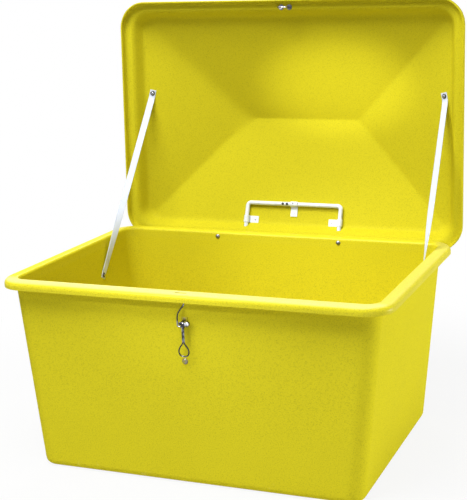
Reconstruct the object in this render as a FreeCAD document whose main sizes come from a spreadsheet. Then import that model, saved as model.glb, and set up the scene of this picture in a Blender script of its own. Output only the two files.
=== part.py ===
import FreeCAD, Part

import math
import os

import Sketcher
from FreeCAD import Placement, Rotation, Vector

# Grit salt bin. X runs to the right, Y to the rear and Z up, in millimetres.
# The origin is the centre of the tub's base. The lid stands open.

doc = FreeCAD.newDocument("grit_salt_bin")

# Driving dimensions
SIZES = {
    "rim_length": 1000,
    "rim_depth": 670,
    "rim_drop": 21,
    "rim_plate": 6,
    "rim_lip": 6,
    "rim_round": 14,
    "rim_overhang": 27,
    "mouth_round": 7.5,
    "tub_height": 485,
    "tub_wall": 8,
    "tub_floor": 8,
    "wall_corner": 39,
    "base_length": 846,
    "base_depth": 610,
    "base_round": 18,
    "lid_overlap": 8,
    "lid_shell": 5,
    "lid_corner": 75,
    "lid_round": 6,
    "lid_gap": 7,
    "lip_depth": 19,
    "flange_width": 30,
    "riser_height": 38,
    "riser_run": 14,
    "riser_corner": 46,
    "roof_corner": 33,
    "roof_rise": 100,
    "ridge_half": 172,
    "ridge_flat": 2,
    "lid_lean": 2.5,
    "hinge_behind": 9,
    "hinge_below": 42,
    "rod_radius": 6,
    "rod_half": 143,
    "rod_reach": 101,
    "rod_bend": 9.8,
    "rod_knee_raise": 7,
    "rod_behind": 16.5,
    "rod_end": 29,
    "rod_hole": 7,
    "pivot_fit": 0.08,
    "clip_sheet": 2,
    "clip_width": 20,
    "clip_length": 35,
    "clip_place": 55,
    "clip_screw_inset": 9,
    "clip_screw_radius": 2.5,
    "bracket_sheet": 3,
    "bracket_ear_place": 157,
    "bracket_bolt_half": 180,
    "bracket_bolt_drop": 14,
    "bracket_margin": 15,
    "bracket_ear_round": 9,
    "bracket_bolt_radius": 3,
    "bracket_nut_flats": 10,
    "strap_width": 20,
    "strap_sheet": 2,
    "strap_low_back": 120,
    "strap_low_drop": 99,
    "strap_high_inset": 66,
    "strap_high_reach": 420,
    "strap_end": 10,
    "strap_flat": 12,
    "strap_ease": 14,
    "strap_lift": 3,
    "strap_screw_radius": 2.5,
    "strap_screw_length": 7,
    "latch_drop": 75,
    "latch_stand": 10,
    "pin_radius": 2.5,
    "ear_inside": 4.5,
    "ear_sheet": 2.5,
    "ear_round": 5,
    "saddle_height": 26,
    "saddle_screw_place": 8,
    "saddle_screw_radius": 2,
    "dome_nut_flats": 13,
    "dome_nut_hexagon": 4.5,
    "dome_nut_radius": 6.5,
    "wire_radius": 1.6,
    "crank": 8,
    "handle_length": 81,
    "handle_shaft": 47,
    "handle_half": 12.6,
    "handle_flare": 15,
    "handle_heel": 9,
    "handle_foot": 6,
    "handle_bend": 4.5,
    "handle_forward": 0.5,
    "eye_wall": 2.2,
    "eye_margin": 0.6,
    "yoke_half": 3,
    "hook_inside": 2,
    "hook_side": 13.5,
    "hook_knee": 16,
    "hook_shoulder": 34,
    "hook_top_drop": 19.5,
    "hook_rear": 2,
    "hook_mouth": 8,
    "hook_slant": 3.5,
    "hook_bend": 3,
    "front_bolt_drop": 172,
    "front_bolt_side": -5,
    "front_bolt_radius": 4,
    "front_nut_flats": 13,
    "front_nut_height": 6,
    "front_washer_sheet": 1.6,
    "backing_width": 34,
    "backing_sheet": 2,
    "backing_margin": 14,
    "staple_place": 13,
    "staple_half": 12,
    "staple_radius": 2,
    "staple_drop": 23,
    "staple_bend": 4,
    "slot_margin": 1.2,
    "keeper_plate_sheet": 2,
    "keeper_plate_width": 13,
    "keeper_margin": 7.5,
    "keeper_outer_flats": 8,
    "keeper_inner_flats": 10,
    "keeper_flange": 7.5,
    "keeper_flange_sheet": 1.4,
    "washer_sheet": 1.2,
    "nut_height": 4,
    "past_nut": 2.5,
    "roof_seat": 0.3,
    "fastener_fit": 0.05,
    "hole_fit": 0.3,
    "seat_gap": 0.05,
}

sheet = doc.addObject("Spreadsheet::Sheet", "dims")
for row, (name, value) in enumerate(SIZES.items(), start=1):
    sheet.set(f"A{row}", name)
    sheet.set(f"B{row}", str(value))
    sheet.setAlias(f"B{row}", name)
doc.recompute()


def size(name):
    return float(sheet.get(name))


# Bolt heads as shares of the shank's radius: head radius, then head height
PAN_HEAD = (2, 0.9)
FLAT_HEAD = (1.9, 0.7)
DOME_HEAD = (2.2, 1.2)
KNOB_HEAD = (1.9, 1.4)
ROUND_HEAD = (1.9, 1)

# Washer radii and nut widths as shares of the shank's radius
SMALL_WASHER = 2.4
PLAIN_WASHER = 1.9
WIDE_WASHER = 2.1
SMALL_NUT = 3.2


# Sketch and solid helpers
def origin_plane(body, role):
    return next(f for f in body.Origin.OriginFeatures if f.Role == role)


def new_sketch(body, name, role="XY_Plane", raised=None):
    sketch = body.newObject("Sketcher::SketchObject", name)
    sketch.AttachmentSupport = (origin_plane(body, role), [""])
    sketch.MapMode = "FlatFace"
    if raised:
        sketch.setExpression("AttachmentOffset.Base.z", raised)
    return sketch


def bound(sketch, kind, place, expression):
    index = sketch.addConstraint(Sketcher.Constraint(kind, *place))
    sketch.setExpression(f"Constraints[{index}]", expression)


def rounded_rectangle(sketch, length, depth, corner):
    """Four lines and four arcs centred on the sketch's origin, each size an expression."""
    first = sketch.GeometryCount
    half_x, half_y, radius = 100.0, 60.0, 20.0
    corners = [(half_x, -half_y, -90), (half_x, half_y, 0), (-half_x, half_y, 90), (-half_x, -half_y, 180)]
    centres = []
    for x, y, start in corners:
        centre = Vector(x - math.copysign(radius, x), y - math.copysign(radius, y), 0)
        centres.append(centre)
        circle = Part.Circle(centre, Vector(0, 0, 1), radius)
        sketch.addGeometry(Part.ArcOfCircle(circle, math.radians(start), math.radians(start + 90)))
    for index in range(4):
        start = math.radians(corners[index][2] + 90)
        shift = Vector(math.cos(start), math.sin(start), 0) * radius
        following = centres[(index + 1) % 4]
        sketch.addGeometry(Part.LineSegment(centres[index] + shift, following + shift))
    for index in range(4):
        line = first + 4 + index
        sketch.addConstraint(Sketcher.Constraint("Tangent", first + index, 2, line, 1))
        sketch.addConstraint(Sketcher.Constraint("Tangent", line, 2, first + (index + 1) % 4, 1))
    for index in range(1, 4):
        sketch.addConstraint(Sketcher.Constraint("Equal", first, first + index))
    sketch.addConstraint(Sketcher.Constraint("Vertical", first + 4))
    sketch.addConstraint(Sketcher.Constraint("Horizontal", first + 7))
    sketch.addConstraint(Sketcher.Constraint("Symmetric", first + 5, 1, first + 5, 2, -2))
    sketch.addConstraint(Sketcher.Constraint("Symmetric", first + 6, 1, first + 6, 2, -1))
    bound(sketch, "Radius", (first, radius), corner)
    bound(sketch, "DistanceX", (first + 6, 1, first + 4, 1, 2 * half_x), length)
    bound(sketch, "DistanceY", (first + 7, 1, first + 5, 1, 2 * half_y), depth)


def polygon(sketch, points, start):
    """Straight outline; each corner is a pair of expressions, start gives its first rough place."""
    count = len(points)
    for index in range(count):
        here = Vector(*start[index], 0)
        following = Vector(*start[(index + 1) % count], 0)
        sketch.addGeometry(Part.LineSegment(here, following))
    for index in range(count):
        sketch.addConstraint(Sketcher.Constraint("Coincident", index, 2, (index + 1) % count, 1))
    for index, (across, up) in enumerate(points):
        bound(sketch, "DistanceX", (-1, 1, index, 1, start[index][0]), across)
        bound(sketch, "DistanceY", (-1, 1, index, 1, start[index][1]), up)


def bind(item, **expressions):
    for name, expression in expressions.items():
        item.setExpression(name, expression)
    return item


def edges_where(shape, test):
    return [f"Edge{number}" for number, edge in enumerate(shape.Edges, start=1) if test(edge)]


def rounded(body, name, feature, radius, test):
    doc.recompute()
    fillet = body.newObject("PartDesign::Fillet", name)
    fillet.Base = (feature, edges_where(feature.Shape, test))
    fillet.setExpression("Radius", radius)
    return fillet


def loft(body, kind, name, low, high):
    feature = body.newObject(f"PartDesign::{kind}Loft", name)
    feature.Profile = low
    feature.Sections = [high]
    feature.Ruled = True
    return feature


def extrude(body, kind, name, sketch, length, backward=False):
    feature = body.newObject(f"PartDesign::{kind}", name)
    feature.Profile = sketch
    feature.setExpression("Length", length)
    feature.Reversed = backward
    return feature


def cylinder(name, radius, height, placement=None):
    item = bind(doc.addObject("Part::Cylinder", name), Radius=radius, Height=height)
    item.Placement = placement or Placement()
    return item


def block(name, length, width, height, placement=None):
    item = bind(doc.addObject("Part::Box", name), Length=length, Width=width, Height=height)
    item.Placement = placement or Placement()
    return item


def fused(name, items):
    item = doc.addObject("Part::MultiFuse", name)
    item.Shapes = items
    return item


def cut(name, base, tool):
    item = doc.addObject("Part::Cut", name)
    item.Base = base
    item.Tool = tool
    return item


def shaped(name, shape, placement=None):
    item = doc.addObject("Part::Feature", name)
    item.Shape = shape
    item.Placement = placement or Placement()
    return item


def at(x, y, z, rotation=None):
    return Placement(Vector(x, y, z), rotation or Rotation())


def moved(shape, placement):
    copy = shape.copy()
    copy.transformShape(placement.toMatrix(), True)
    return copy


def group(name, shapes, placement=None):
    return shaped(name, Part.makeCompound(shapes), placement)


def domed_bolt(head, shank_radius, shank_length, placement):
    """Head above the seat at Z = 0, shank below it; head gives its radius and height as shares."""
    head_radius, head_height = (share * shank_radius for share in head)
    shank = Part.makeCylinder(shank_radius, shank_length, Vector(0, 0, -shank_length))
    ball_radius = (head_radius ** 2 + head_height ** 2) / (2 * head_height)
    ball = Part.makeSphere(ball_radius, Vector(0, 0, head_height - ball_radius))
    cap = ball.common(Part.makeCylinder(head_radius * 2, head_height * 2))
    return moved(cap.fuse(shank).removeSplitter(), placement)


def washer(inner, outer, thickness, placement):
    ring = Part.makeCylinder(outer, thickness).cut(Part.makeCylinder(inner, thickness))
    return moved(ring, placement)


def hex_nut(bore, flats, height, placement):
    corner = flats / math.sqrt(3)
    points = [Vector(corner * math.cos(a), corner * math.sin(a), 0)
              for a in (math.radians(60 * step) for step in range(7))]
    prism = Part.Face(Part.makePolygon(points)).extrude(Vector(0, 0, height))
    return moved(prism.cut(Part.makeCylinder(bore, height)), placement)


def bent_wire(points, bend, radius):
    """Round wire along straight runs joined by tangent arcs."""
    edges = []
    last = Vector(*points[0])
    for before, corner, after in zip(points, points[1:], points[2:]):
        before, corner, after = Vector(*before), Vector(*corner), Vector(*after)
        inward = (before - corner).normalize()
        outward = (after - corner).normalize()
        turn = math.pi - inward.getAngle(outward)
        reach = bend * math.tan(turn / 2)
        start = corner + inward * reach
        end = corner + outward * reach
        middle = (inward + outward).normalize()
        centre = corner + middle * (bend / math.cos(turn / 2))
        edges.append(Part.LineSegment(last, start).toShape())
        edges.append(Part.Arc(start, centre - middle * bend, end).toShape())
        last = end
    edges.append(Part.LineSegment(last, Vector(*points[-1])).toShape())
    path = Part.Wire(edges)
    heading = (Vector(*points[1]) - Vector(*points[0])).normalize()
    ring = Part.Wire(Part.makeCircle(radius, Vector(*points[0]), heading))
    return path.makePipeShell([ring], True, False)


# Places that several pieces share
rim_top = size("tub_height")
rear_rim = size("rim_depth") / 2
side_wall_top = size("rim_length") / 2 - size("rim_overhang")
end_wall_top = size("rim_depth") / 2 - size("rim_overhang")
side_slope = (side_wall_top - size("base_length") / 2) / size("tub_height")
end_slope = (end_wall_top - size("base_depth") / 2) / size("tub_height")
hinge = Vector(0, rear_rim + size("hinge_behind"), rim_top - size("hinge_below"))
rear_lip = rear_rim + size("lid_overlap")
lid_side = size("rim_length") / 2 + size("lid_overlap")
flange_z = rim_top + size("lid_gap")
lip_z = flange_z - size("lip_depth")
roof_back = rear_lip - size("flange_width") - size("riser_run")
roof_side = lid_side - size("flange_width") - size("riser_run")
roof_z = flange_z + size("riser_height")
back_pitch = size("roof_rise") / roof_back
side_pitch = size("roof_rise") / (roof_side - size("ridge_half"))
back_tilt = math.degrees(math.atan(back_pitch))
side_tilt = math.degrees(math.atan(side_pitch))
fit = size("fastener_fit")
seat = size("seat_gap")

# The lid and what it carries are drawn closed and turned open about the hinge
opening = Rotation(Vector(1, 0, 0), -(90 + size("lid_lean")))
OPEN = Placement(hinge, opening).multiply(Placement(-hinge, Rotation()))


def side_wall(z):
    return size("base_length") / 2 + side_slope * z


def end_wall(z):
    return size("base_depth") / 2 + end_slope * z


def outermost(*heights):
    return max(end_wall(z) for z in heights)


def innermost(*heights):
    return min(end_wall(z) for z in heights) - size("tub_wall")


def rear_panel(x, y):
    """Frame on the underside of the lid's rear roof panel: local Y to the hinge, local Z outward."""
    z = roof_z + (roof_back - y) * back_pitch
    return at(x, y, z, Rotation(Vector(1, 0, 0), -back_tilt))


def side_panel(side, x, y):
    """Frame on the underside of a side roof panel: local X to the side lip, local Z outward."""
    z = roof_z + (roof_side - x) * side_pitch
    return at(side * x, y, z, Rotation(Vector(0, 1, 0), side * side_tilt))


FACE_FRONT = Rotation(Vector(1, 0, 0), 90)
FACE_REAR = Rotation(Vector(1, 0, 0), -90)


# Tub
def frustum(body, kind, name, bounds):
    """Drafted block about the Z axis; bounds are expressions for its height range and half sizes."""
    low, high, low_x, low_y, high_x, high_y = bounds
    feature = body.newObject(f"PartDesign::{kind}Wedge", name)
    feature.Placement = Placement(Vector(), Rotation(Vector(1, 0, 0), 90))
    bind(feature, Ymin=low, Ymax=high, Xmin=f"-1 * ({low_x})", Xmax=low_x, Zmin=f"-1 * ({low_y})", Zmax=low_y,
         X2min=f"-1 * ({high_x})", X2max=high_x, Z2min=f"-1 * ({high_y})", Z2max=high_y)
    return feature


def beyond(box, half_x, half_y):
    return max(abs(box.XMin), abs(box.XMax)) > half_x or max(abs(box.YMin), abs(box.YMax)) > half_y


def make_tub():
    body = doc.addObject("PartDesign::Body", "tub_form")
    top_x = "(dims.rim_length / 2 - dims.rim_overhang)"
    top_y = "(dims.rim_depth / 2 - dims.rim_overhang)"
    share = "dims.tub_floor / dims.tub_height"
    floor_x = f"dims.base_length / 2 + ({top_x} - dims.base_length / 2) * {share} - dims.tub_wall"
    floor_y = f"dims.base_depth / 2 + ({top_y} - dims.base_depth / 2) * {share} - dims.tub_wall"
    floor_z = size("tub_floor")
    inner_x = side_wall_top - size("tub_wall")
    inner_y = end_wall_top - size("tub_wall")
    walls = frustum(body, "Additive", "walls",
                    ("0", "dims.tub_height", "dims.base_length / 2", "dims.base_depth / 2", top_x, top_y))
    corners = rounded(body, "wall_corners", walls, "dims.wall_corner",
                      lambda edge: edge.BoundBox.ZLength > rim_top - 0.1)
    rounded(body, "base_edge", corners, "dims.base_round", lambda edge: edge.BoundBox.ZMax < 0.01)
    rim = new_sketch(body, "rim_outline", raised="dims.tub_height - dims.rim_drop")
    rounded_rectangle(rim, "dims.rim_length", "dims.rim_depth", "dims.wall_corner + dims.rim_overhang")
    bead = extrude(body, "Pad", "bead", rim, "dims.rim_drop")
    rim_x = size("rim_length") / 2 - 0.1
    rim_y = size("rim_depth") / 2 - 0.1
    outer_round = rounded(body, "rim_edge", bead, "dims.rim_round",
                          lambda edge: edge.BoundBox.ZMin > rim_top - 0.01 and beyond(edge.BoundBox, rim_x, rim_y))
    doc.recompute()
    full_volume = outer_round.Shape.Volume
    space = doc.addObject("PartDesign::Body", "tub_space")
    hollow = frustum(space, "Additive", "hollow",
                     ("dims.tub_floor", "dims.tub_height", floor_x, floor_y,
                      top_x + " - dims.tub_wall", top_y + " - dims.tub_wall"))
    inner_corners = rounded(space, "inner_corners", hollow, "dims.wall_corner - dims.tub_wall",
                            lambda edge: edge.BoundBox.ZLength > rim_top - floor_z - 0.1)
    rounded(space, "floor_edge", inner_corners, "dims.base_round - dims.tub_floor",
            lambda edge: edge.BoundBox.ZMax < floor_z + 0.01)
    hollowed = body.newObject("PartDesign::Boolean", "hollowed")
    hollowed.Type = "Cut"
    hollowed.setObjects([space])
    doc.recompute()
    if hollowed.Shape.Volume > full_volume / 2:
        raise RuntimeError("the tub isn't hollow")
    inner_round = rounded(body, "mouth_edge", hollowed, "dims.mouth_round",
                          lambda edge: edge.BoundBox.ZMin > rim_top - 0.01
                          and not beyond(edge.BoundBox, inner_x + 0.1, inner_y + 0.1))
    groove = new_sketch(body, "groove_outline", raised="dims.tub_height - dims.rim_drop")
    rounded_rectangle(groove, "dims.rim_length - 2 * dims.rim_lip", "dims.rim_depth - 2 * dims.rim_lip",
                      "dims.wall_corner + dims.rim_overhang - dims.rim_lip")
    rounded_rectangle(groove, "2 * " + top_x, "2 * " + top_y, "dims.wall_corner")
    doc.recompute()
    solid_volume = inner_round.Shape.Volume
    pocket = extrude(body, "Pocket", "groove", groove, "dims.rim_drop - dims.rim_plate", backward=True)
    doc.recompute()
    if pocket.Shape.Volume > solid_volume - 1000:
        raise RuntimeError("the groove under the rim cuts nothing")
    ceiling = rim_top - size("rim_plate")
    lip_x = rim_x - size("rim_lip")
    lip_y = rim_y - size("rim_lip")
    rounded(body, "groove_edge", pocket, "dims.rim_round - dims.rim_lip",
            lambda edge: abs(edge.BoundBox.ZMin - ceiling) < 0.01 and edge.BoundBox.ZLength < 0.01
            and beyond(edge.BoundBox, lip_x, lip_y))
    through = "dims.rim_depth / 8"
    reach = size("tub_wall") + size("base_round") / 2
    tools = []
    for side in (-1, 1):
        spot = at(side * size("bracket_bolt_half"), end_wall_top + reach, bolt_z, FACE_FRONT)
        tools.append(cylinder("bracket_bolt_hole", "dims.bracket_bolt_radius + dims.hole_fit", through, spot))
        tools.append(cylinder("strap_screw_hole", "dims.strap_screw_radius + dims.fastener_fit",
                              "dims.strap_screw_length", strap_low_frame(side)))
        spot = at(0, -end_wall_top - reach, latch_z + side * size("saddle_screw_place"), FACE_REAR)
        tools.append(cylinder("saddle_screw_hole", "dims.saddle_screw_radius + dims.hole_fit", through, spot))
    spot = at(size("front_bolt_side"), -end_wall_top - reach, front_bolt_z, FACE_REAR)
    tools.append(cylinder("front_bolt_hole", "dims.front_bolt_radius + dims.hole_fit", through, spot))
    slot_length = "2 * (dims.staple_half + dims.staple_radius + dims.slot_margin)"
    slot_width = "2 * (dims.staple_radius + dims.slot_margin)"
    half_slot = size("staple_half") + size("staple_radius") + size("slot_margin")
    spot = at(-half_slot, staple_y - size("staple_radius") - size("slot_margin"), ceiling - size("rim_plate"))
    tools.append(block("staple_slot", slot_length, slot_width, "3 * dims.rim_plate", spot))
    return cut("tub", body, fused("tub_holes", tools))


bolt_z = rim_top - size("bracket_bolt_drop")
latch_z = rim_top - size("latch_drop")
front_bolt_z = rim_top - size("front_bolt_drop")
staple_y = -rear_rim + size("staple_place")


def strap_low_frame(side):
    """Frame on the inner face of a side wall: local Z points into the wall."""
    z = rim_top - size("strap_low_drop")
    x = side_wall(z) - size("tub_wall")
    lean = math.degrees(math.atan(side_slope))
    return at(side * x, size("strap_low_back"), z, Rotation(Vector(0, 1, 0), side * (90 + lean)))


# Lid
def lid_form(name, grow):
    """Solid of the lid's inner space, grown outward by an expression to give its outside."""
    body = doc.addObject("PartDesign::Body", name)
    length = "dims.rim_length + 2 * dims.lid_overlap"
    depth = "dims.rim_depth + 2 * dims.lid_overlap"
    lip = "dims.tub_height + dims.lid_gap - dims.lip_depth"
    flange = f"dims.tub_height + dims.lid_gap + {grow}"
    roof = f"dims.tub_height + dims.lid_gap + dims.riser_height + 0.72 * {grow}"
    brim_trim = f" - 2 * dims.lid_shell + 2 * {grow}"
    foot_trim = f" - 2 * dims.flange_width + 2 * {grow}"
    head_trim = foot_trim + " - 2 * dims.riser_run"
    edge = new_sketch(body, name + "_lip_outline", raised=lip)
    rounded_rectangle(edge, length + brim_trim, depth + brim_trim, f"dims.lid_corner - dims.lid_shell + {grow}")
    brim = extrude(body, "Pad", name + "_brim", edge, f"dims.lip_depth + {grow}")
    brim_top = flange_z - 0.01
    rounded(body, name + "_brim_edge", brim, f"dims.lid_round - dims.lid_shell + {grow}",
            lambda edge: edge.BoundBox.ZMin > brim_top)
    low = new_sketch(body, name + "_riser_foot", raised=flange)
    rounded_rectangle(low, length + foot_trim, depth + foot_trim, f"dims.riser_corner + {grow}")
    high = new_sketch(body, name + "_riser_head", raised=roof)
    rounded_rectangle(high, length + head_trim, depth + head_trim, f"dims.roof_corner + {grow}")
    loft(body, "Additive", name + "_riser", low, high)
    crown = new_sketch(body, name + "_crown_outline", raised=roof)
    rounded_rectangle(crown, length + head_trim, depth + head_trim, f"dims.roof_corner + {grow}")
    extrude(body, "Pad", name + "_crown", crown, "1.5 * dims.roof_rise")
    peak = roof + f" + dims.roof_rise + 0.34 * {grow}"
    sky = peak + " + dims.roof_rise"
    rough_peak = roof_z + size("roof_rise")
    rough_sky = rough_peak + size("roof_rise")
    for pitch_name, role, span, ridge, rough_half, rough_ridge in (
            ("_side_pitch", "XZ_Plane", length, "dims.ridge_half", roof_side, size("ridge_half")),
            ("_end_pitch", "YZ_Plane", depth, "dims.ridge_flat", roof_back, size("ridge_flat"))):
        half = f"({span + head_trim}) / 2"
        beyond_half = half + " + dims.riser_run"
        rough_side = rough_half + size("riser_run")
        pitch = new_sketch(body, name + pitch_name + "_outline", role)
        polygon(pitch,
                [("-1 * " + half, roof), ("-1 * " + ridge, peak), (ridge, peak), (half, roof),
                 (beyond_half, roof), (beyond_half, sky), ("-1 * (" + beyond_half + ")", sky),
                 ("-1 * (" + beyond_half + ")", roof)],
                [(-rough_half, roof_z), (-rough_ridge, rough_peak), (rough_ridge, rough_peak), (rough_half, roof_z),
                 (rough_side, roof_z), (rough_side, rough_sky), (-rough_side, rough_sky), (-rough_side, roof_z)])
        doc.recompute()
        before = body.Tip.Shape.Volume
        feature = body.newObject("PartDesign::Pocket", name + pitch_name)
        feature.Profile = pitch
        feature.Type = "ThroughAll"
        feature.Midplane = True
        doc.recompute()
        if feature.Shape.Volume > before - 1000:
            raise RuntimeError("a roof pitch cuts nothing")
    return body


def make_lid():
    shell = cut("lid_shell_form", lid_form("lid_outside", "dims.lid_shell"), lid_form("lid_inside", "0"))
    tools = []
    for side in (-1, 1):
        frame = rear_panel(side * size("rod_half"), roof_back)
        spot = frame.multiply(at(0, -size("riser_run"), -rod_depth, FACE_REAR))
        tools.append(cylinder("rod_hole", "dims.rod_hole", "4 * dims.riser_run", spot))
        frame = side_panel(side, strap_high_x, strap_high_y)
        spot = frame.multiply(at(0, 0, -size("lid_shell")))
        tools.append(cylinder("strap_hole", "dims.strap_screw_radius + dims.hole_fit", "4 * dims.lid_shell", spot))
        spot = at(side * size("staple_half"), staple_y, flange_z - size("lid_shell"))
        tools.append(cylinder("staple_hole", "dims.staple_radius + dims.hole_fit", "3 * dims.lid_shell", spot))
    for frame in clip_screw_frames():
        spot = frame.multiply(at(0, 0, -size("lid_shell")))
        tools.append(cylinder("clip_hole", "dims.clip_screw_radius + dims.hole_fit", "4 * dims.lid_shell", spot))
    lid = cut("lid", shell, fused("lid_holes", tools))
    lid.Placement = OPEN
    return lid


rod_depth = seat + size("clip_sheet") + fit + size("rod_radius")
strap_high_y = rear_lip - size("strap_high_reach")
strap_high_x = lid_side - size("strap_high_inset")
clip_y = rear_lip - size("clip_place")
bar_y = rear_lip - size("rod_reach")


# Hinge rod and the clips that hold it
def make_rod():
    near = rear_panel(0, bar_y).multVec(Vector(0, 0, -rod_depth))
    far_y = rear_rim + size("rod_behind")
    rise = (near.y - far_y) * back_pitch
    far_z = near.z + rise
    half = size("rod_half")
    knee_z = (hinge.z + lip_z) / 2 + size("rod_knee_raise")
    side = [(half + size("rod_end"), hinge.y, hinge.z), (half, hinge.y, hinge.z), (half, far_y, knee_z),
            (half, far_y, far_z), (half, near.y, near.z)]
    mirrored = [(-x, y, z) for x, y, z in reversed(side)]
    return shaped("hinge_rod", bent_wire(side + mirrored, size("rod_bend"), size("rod_radius")), OPEN)


def clip_frames():
    """Frames on the rear panel over the rod's centre line, local X along the tab."""
    half = size("rod_half")
    quarter = Rotation(Vector(0, 0, 1), 90)
    return {
        "hinge_clip_left": rear_panel(-half, clip_y),
        "hinge_clip_centre": rear_panel(0, bar_y).multiply(Placement(Vector(), quarter)),
        "hinge_clip_right": rear_panel(half, clip_y).multiply(Placement(Vector(), quarter * quarter)),
    }


def clip_screw_frames():
    inset = size("clip_length") - size("clip_screw_inset")
    return [frame.multiply(at(inset, 0, 0)) for frame in clip_frames().values()]


def make_clip(name, frame):
    wide = size("clip_width") / 2
    along = Rotation(Vector(1, 0, 0), -90)
    ring_radius = "dims.rod_radius + dims.fastener_fit + dims.clip_sheet"
    ring = cylinder(name + "_ring", ring_radius, "dims.clip_width", at(0, -wide, -rod_depth, along))
    drop = seat + size("clip_sheet")
    tab = block(name + "_tab", "dims.clip_length", "dims.clip_width", "dims.clip_sheet", at(0, -wide, -drop))
    bore = cylinder(name + "_bore", "dims.rod_radius + dims.fastener_fit", "2 * dims.clip_width",
                    at(0, -2 * wide, -rod_depth, along))
    hole = cylinder(name + "_hole", "dims.clip_screw_radius + dims.hole_fit", "4 * dims.clip_sheet",
                    at(size("clip_length") - size("clip_screw_inset"), 0, -2 * drop))
    clip = cut(name, fused(name + "_metal", [ring, tab]), fused(name + "_bores", [bore, hole]))
    clip.Placement = OPEN.multiply(frame)
    return clip


def lid_screw_set(frames, radius, stack):
    """Pan screws under the panel, washers and nuts on top; stack is what lies under the panel."""
    shell = size("lid_shell")
    thickness = size("washer_sheet")
    nut_height = size("nut_height")
    over = shell + size("roof_seat")
    length = stack + shell + thickness + nut_height + size("past_nut")
    under = at(0, 0, -stack, Rotation(Vector(1, 0, 0), 180))
    on_top = at(0, 0, over)
    above = at(0, 0, over + thickness + seat)
    screws = [domed_bolt(PAN_HEAD, radius, length, frame.multiply(under)) for frame in frames]
    rings = [washer(radius + fit, SMALL_WASHER * radius, thickness, frame.multiply(on_top)) for frame in frames]
    nuts = [hex_nut(radius + fit, SMALL_NUT * radius, nut_height, frame.multiply(above)) for frame in frames]
    return screws, rings, nuts


# Rear hinge brackets and their bolts
bracket_top = rim_top - size("rim_plate") - 1
bracket_face = max(end_wall_top, end_wall(hinge.z - size("bracket_ear_round")))


def make_bracket(side):
    name = "hinge_bracket_left" if side < 0 else "hinge_bracket_right"
    bracket_sheet = size("bracket_sheet")
    ear_x = size("bracket_ear_place")
    low = hinge.z - size("bracket_ear_round")
    wall_face = bracket_face + seat
    plate_end = size("bracket_bolt_half") + size("bracket_margin")
    plate = Part.makeBox(plate_end - ear_x, bracket_sheet, bracket_top - low, Vector(ear_x, wall_face, low))
    ear = Part.makeBox(bracket_sheet, hinge.y - wall_face, 2 * size("bracket_ear_round"),
                       Vector(ear_x, wall_face, low))
    across = Vector(1, 0, 0)
    nose = Part.makeCylinder(size("bracket_ear_round"), bracket_sheet, Vector(ear_x, hinge.y, hinge.z), across)
    bore = Part.makeCylinder(size("rod_radius") + size("pivot_fit"), 4 * bracket_sheet,
                             Vector(ear_x - bracket_sheet, hinge.y, hinge.z), across)
    spot = Vector(size("bracket_bolt_half"), wall_face - bracket_sheet, bolt_z)
    hole = Part.makeCylinder(size("bracket_bolt_radius") + size("hole_fit"), 4 * bracket_sheet, spot, Vector(0, 1, 0))
    shape = plate.fuse([ear, nose]).cut(bore).cut(hole).removeSplitter()
    if side < 0:
        shape = shape.mirror(Vector(), across)
    return shaped(name, shape)


def make_bracket_fasteners():
    radius = size("bracket_bolt_radius")
    thickness = size("washer_sheet")
    nut_height = size("nut_height")
    face = bracket_face + size("bracket_sheet") + 2 * seat
    head_reach = DOME_HEAD[0] * radius
    inner = innermost(bolt_z - head_reach, bolt_z + head_reach) - seat
    length = face + thickness + nut_height + size("past_nut") - inner
    bolts, rings, nuts = [], [], []
    for side in (-1, 1):
        x = side * size("bracket_bolt_half")
        bolts.append(domed_bolt(DOME_HEAD, radius, length, at(x, inner, bolt_z, FACE_FRONT)))
        rings.append(washer(radius + fit, PLAIN_WASHER * radius, thickness, at(x, face, bolt_z, FACE_REAR)))
        spot = at(x, face + thickness + seat, bolt_z, FACE_REAR)
        nuts.append(hex_nut(radius + fit, size("bracket_nut_flats"), nut_height, spot))
    return group("bracket_bolts", bolts), group("bracket_washers", rings), group("bracket_nuts", nuts)


# Stay straps, flat on the wall below and flat on the lid above, with the twist between
TWIST_STEPS = 10


def make_strap(side):
    name = "strap_left" if side < 0 else "strap_right"
    low = strap_low_frame(side)
    high = OPEN.multiply(side_panel(side, strap_high_x, strap_high_y))
    low_out = low.Rotation.multVec(Vector(0, 0, -1))
    high_out = high.Rotation.multVec(Vector(0, 0, -1))
    middle = seat + size("strap_sheet") / 2
    foot = low.Base + low_out * middle
    head = high.Base + high_out * middle
    run = (head - foot).normalize()
    low_run = (run - low_out * run.dot(low_out)).normalize()
    high_run = (run - high_out * run.dot(high_out)).normalize()
    end = size("strap_end")
    flat = size("strap_flat")
    ease = flat + size("strap_ease")
    lift = size("strap_lift")
    stations = [
        (foot - low_run * end, low_run, low_out),
        (foot + low_run * flat, low_run, low_out),
    ]
    start = foot + low_run * ease + low_out * lift
    finish = head - high_run * ease + high_out * lift
    for step in range(TWIST_STEPS + 1):
        share = step / TWIST_STEPS
        facing = (low_out * (1 - share) + high_out * share).normalize()
        facing = (facing - run * facing.dot(run)).normalize()
        stations.append((start + (finish - start) * share, run, facing))
    stations.append((head - high_run * flat, high_run, high_out))
    stations.append((head + high_run * end, high_run, high_out))
    wires = []
    for place, along, facing in stations:
        across = along.cross(facing).normalize() * (size("strap_width") / 2)
        thick = facing * (size("strap_sheet") / 2)
        corners = [place - across - thick, place + across - thick, place + across + thick, place - across + thick]
        wires.append(Part.makePolygon(corners + corners[:1]))
    solid = Part.makeLoft(wires, True, True)
    radius = size("strap_screw_radius") + size("hole_fit")
    for frame in (low, high):
        hole = Part.makeCylinder(radius, 8 * size("strap_sheet"), Vector(0, 0, -4 * size("strap_sheet")))
        solid = solid.cut(moved(hole, frame))
    return shaped(name, solid)


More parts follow.
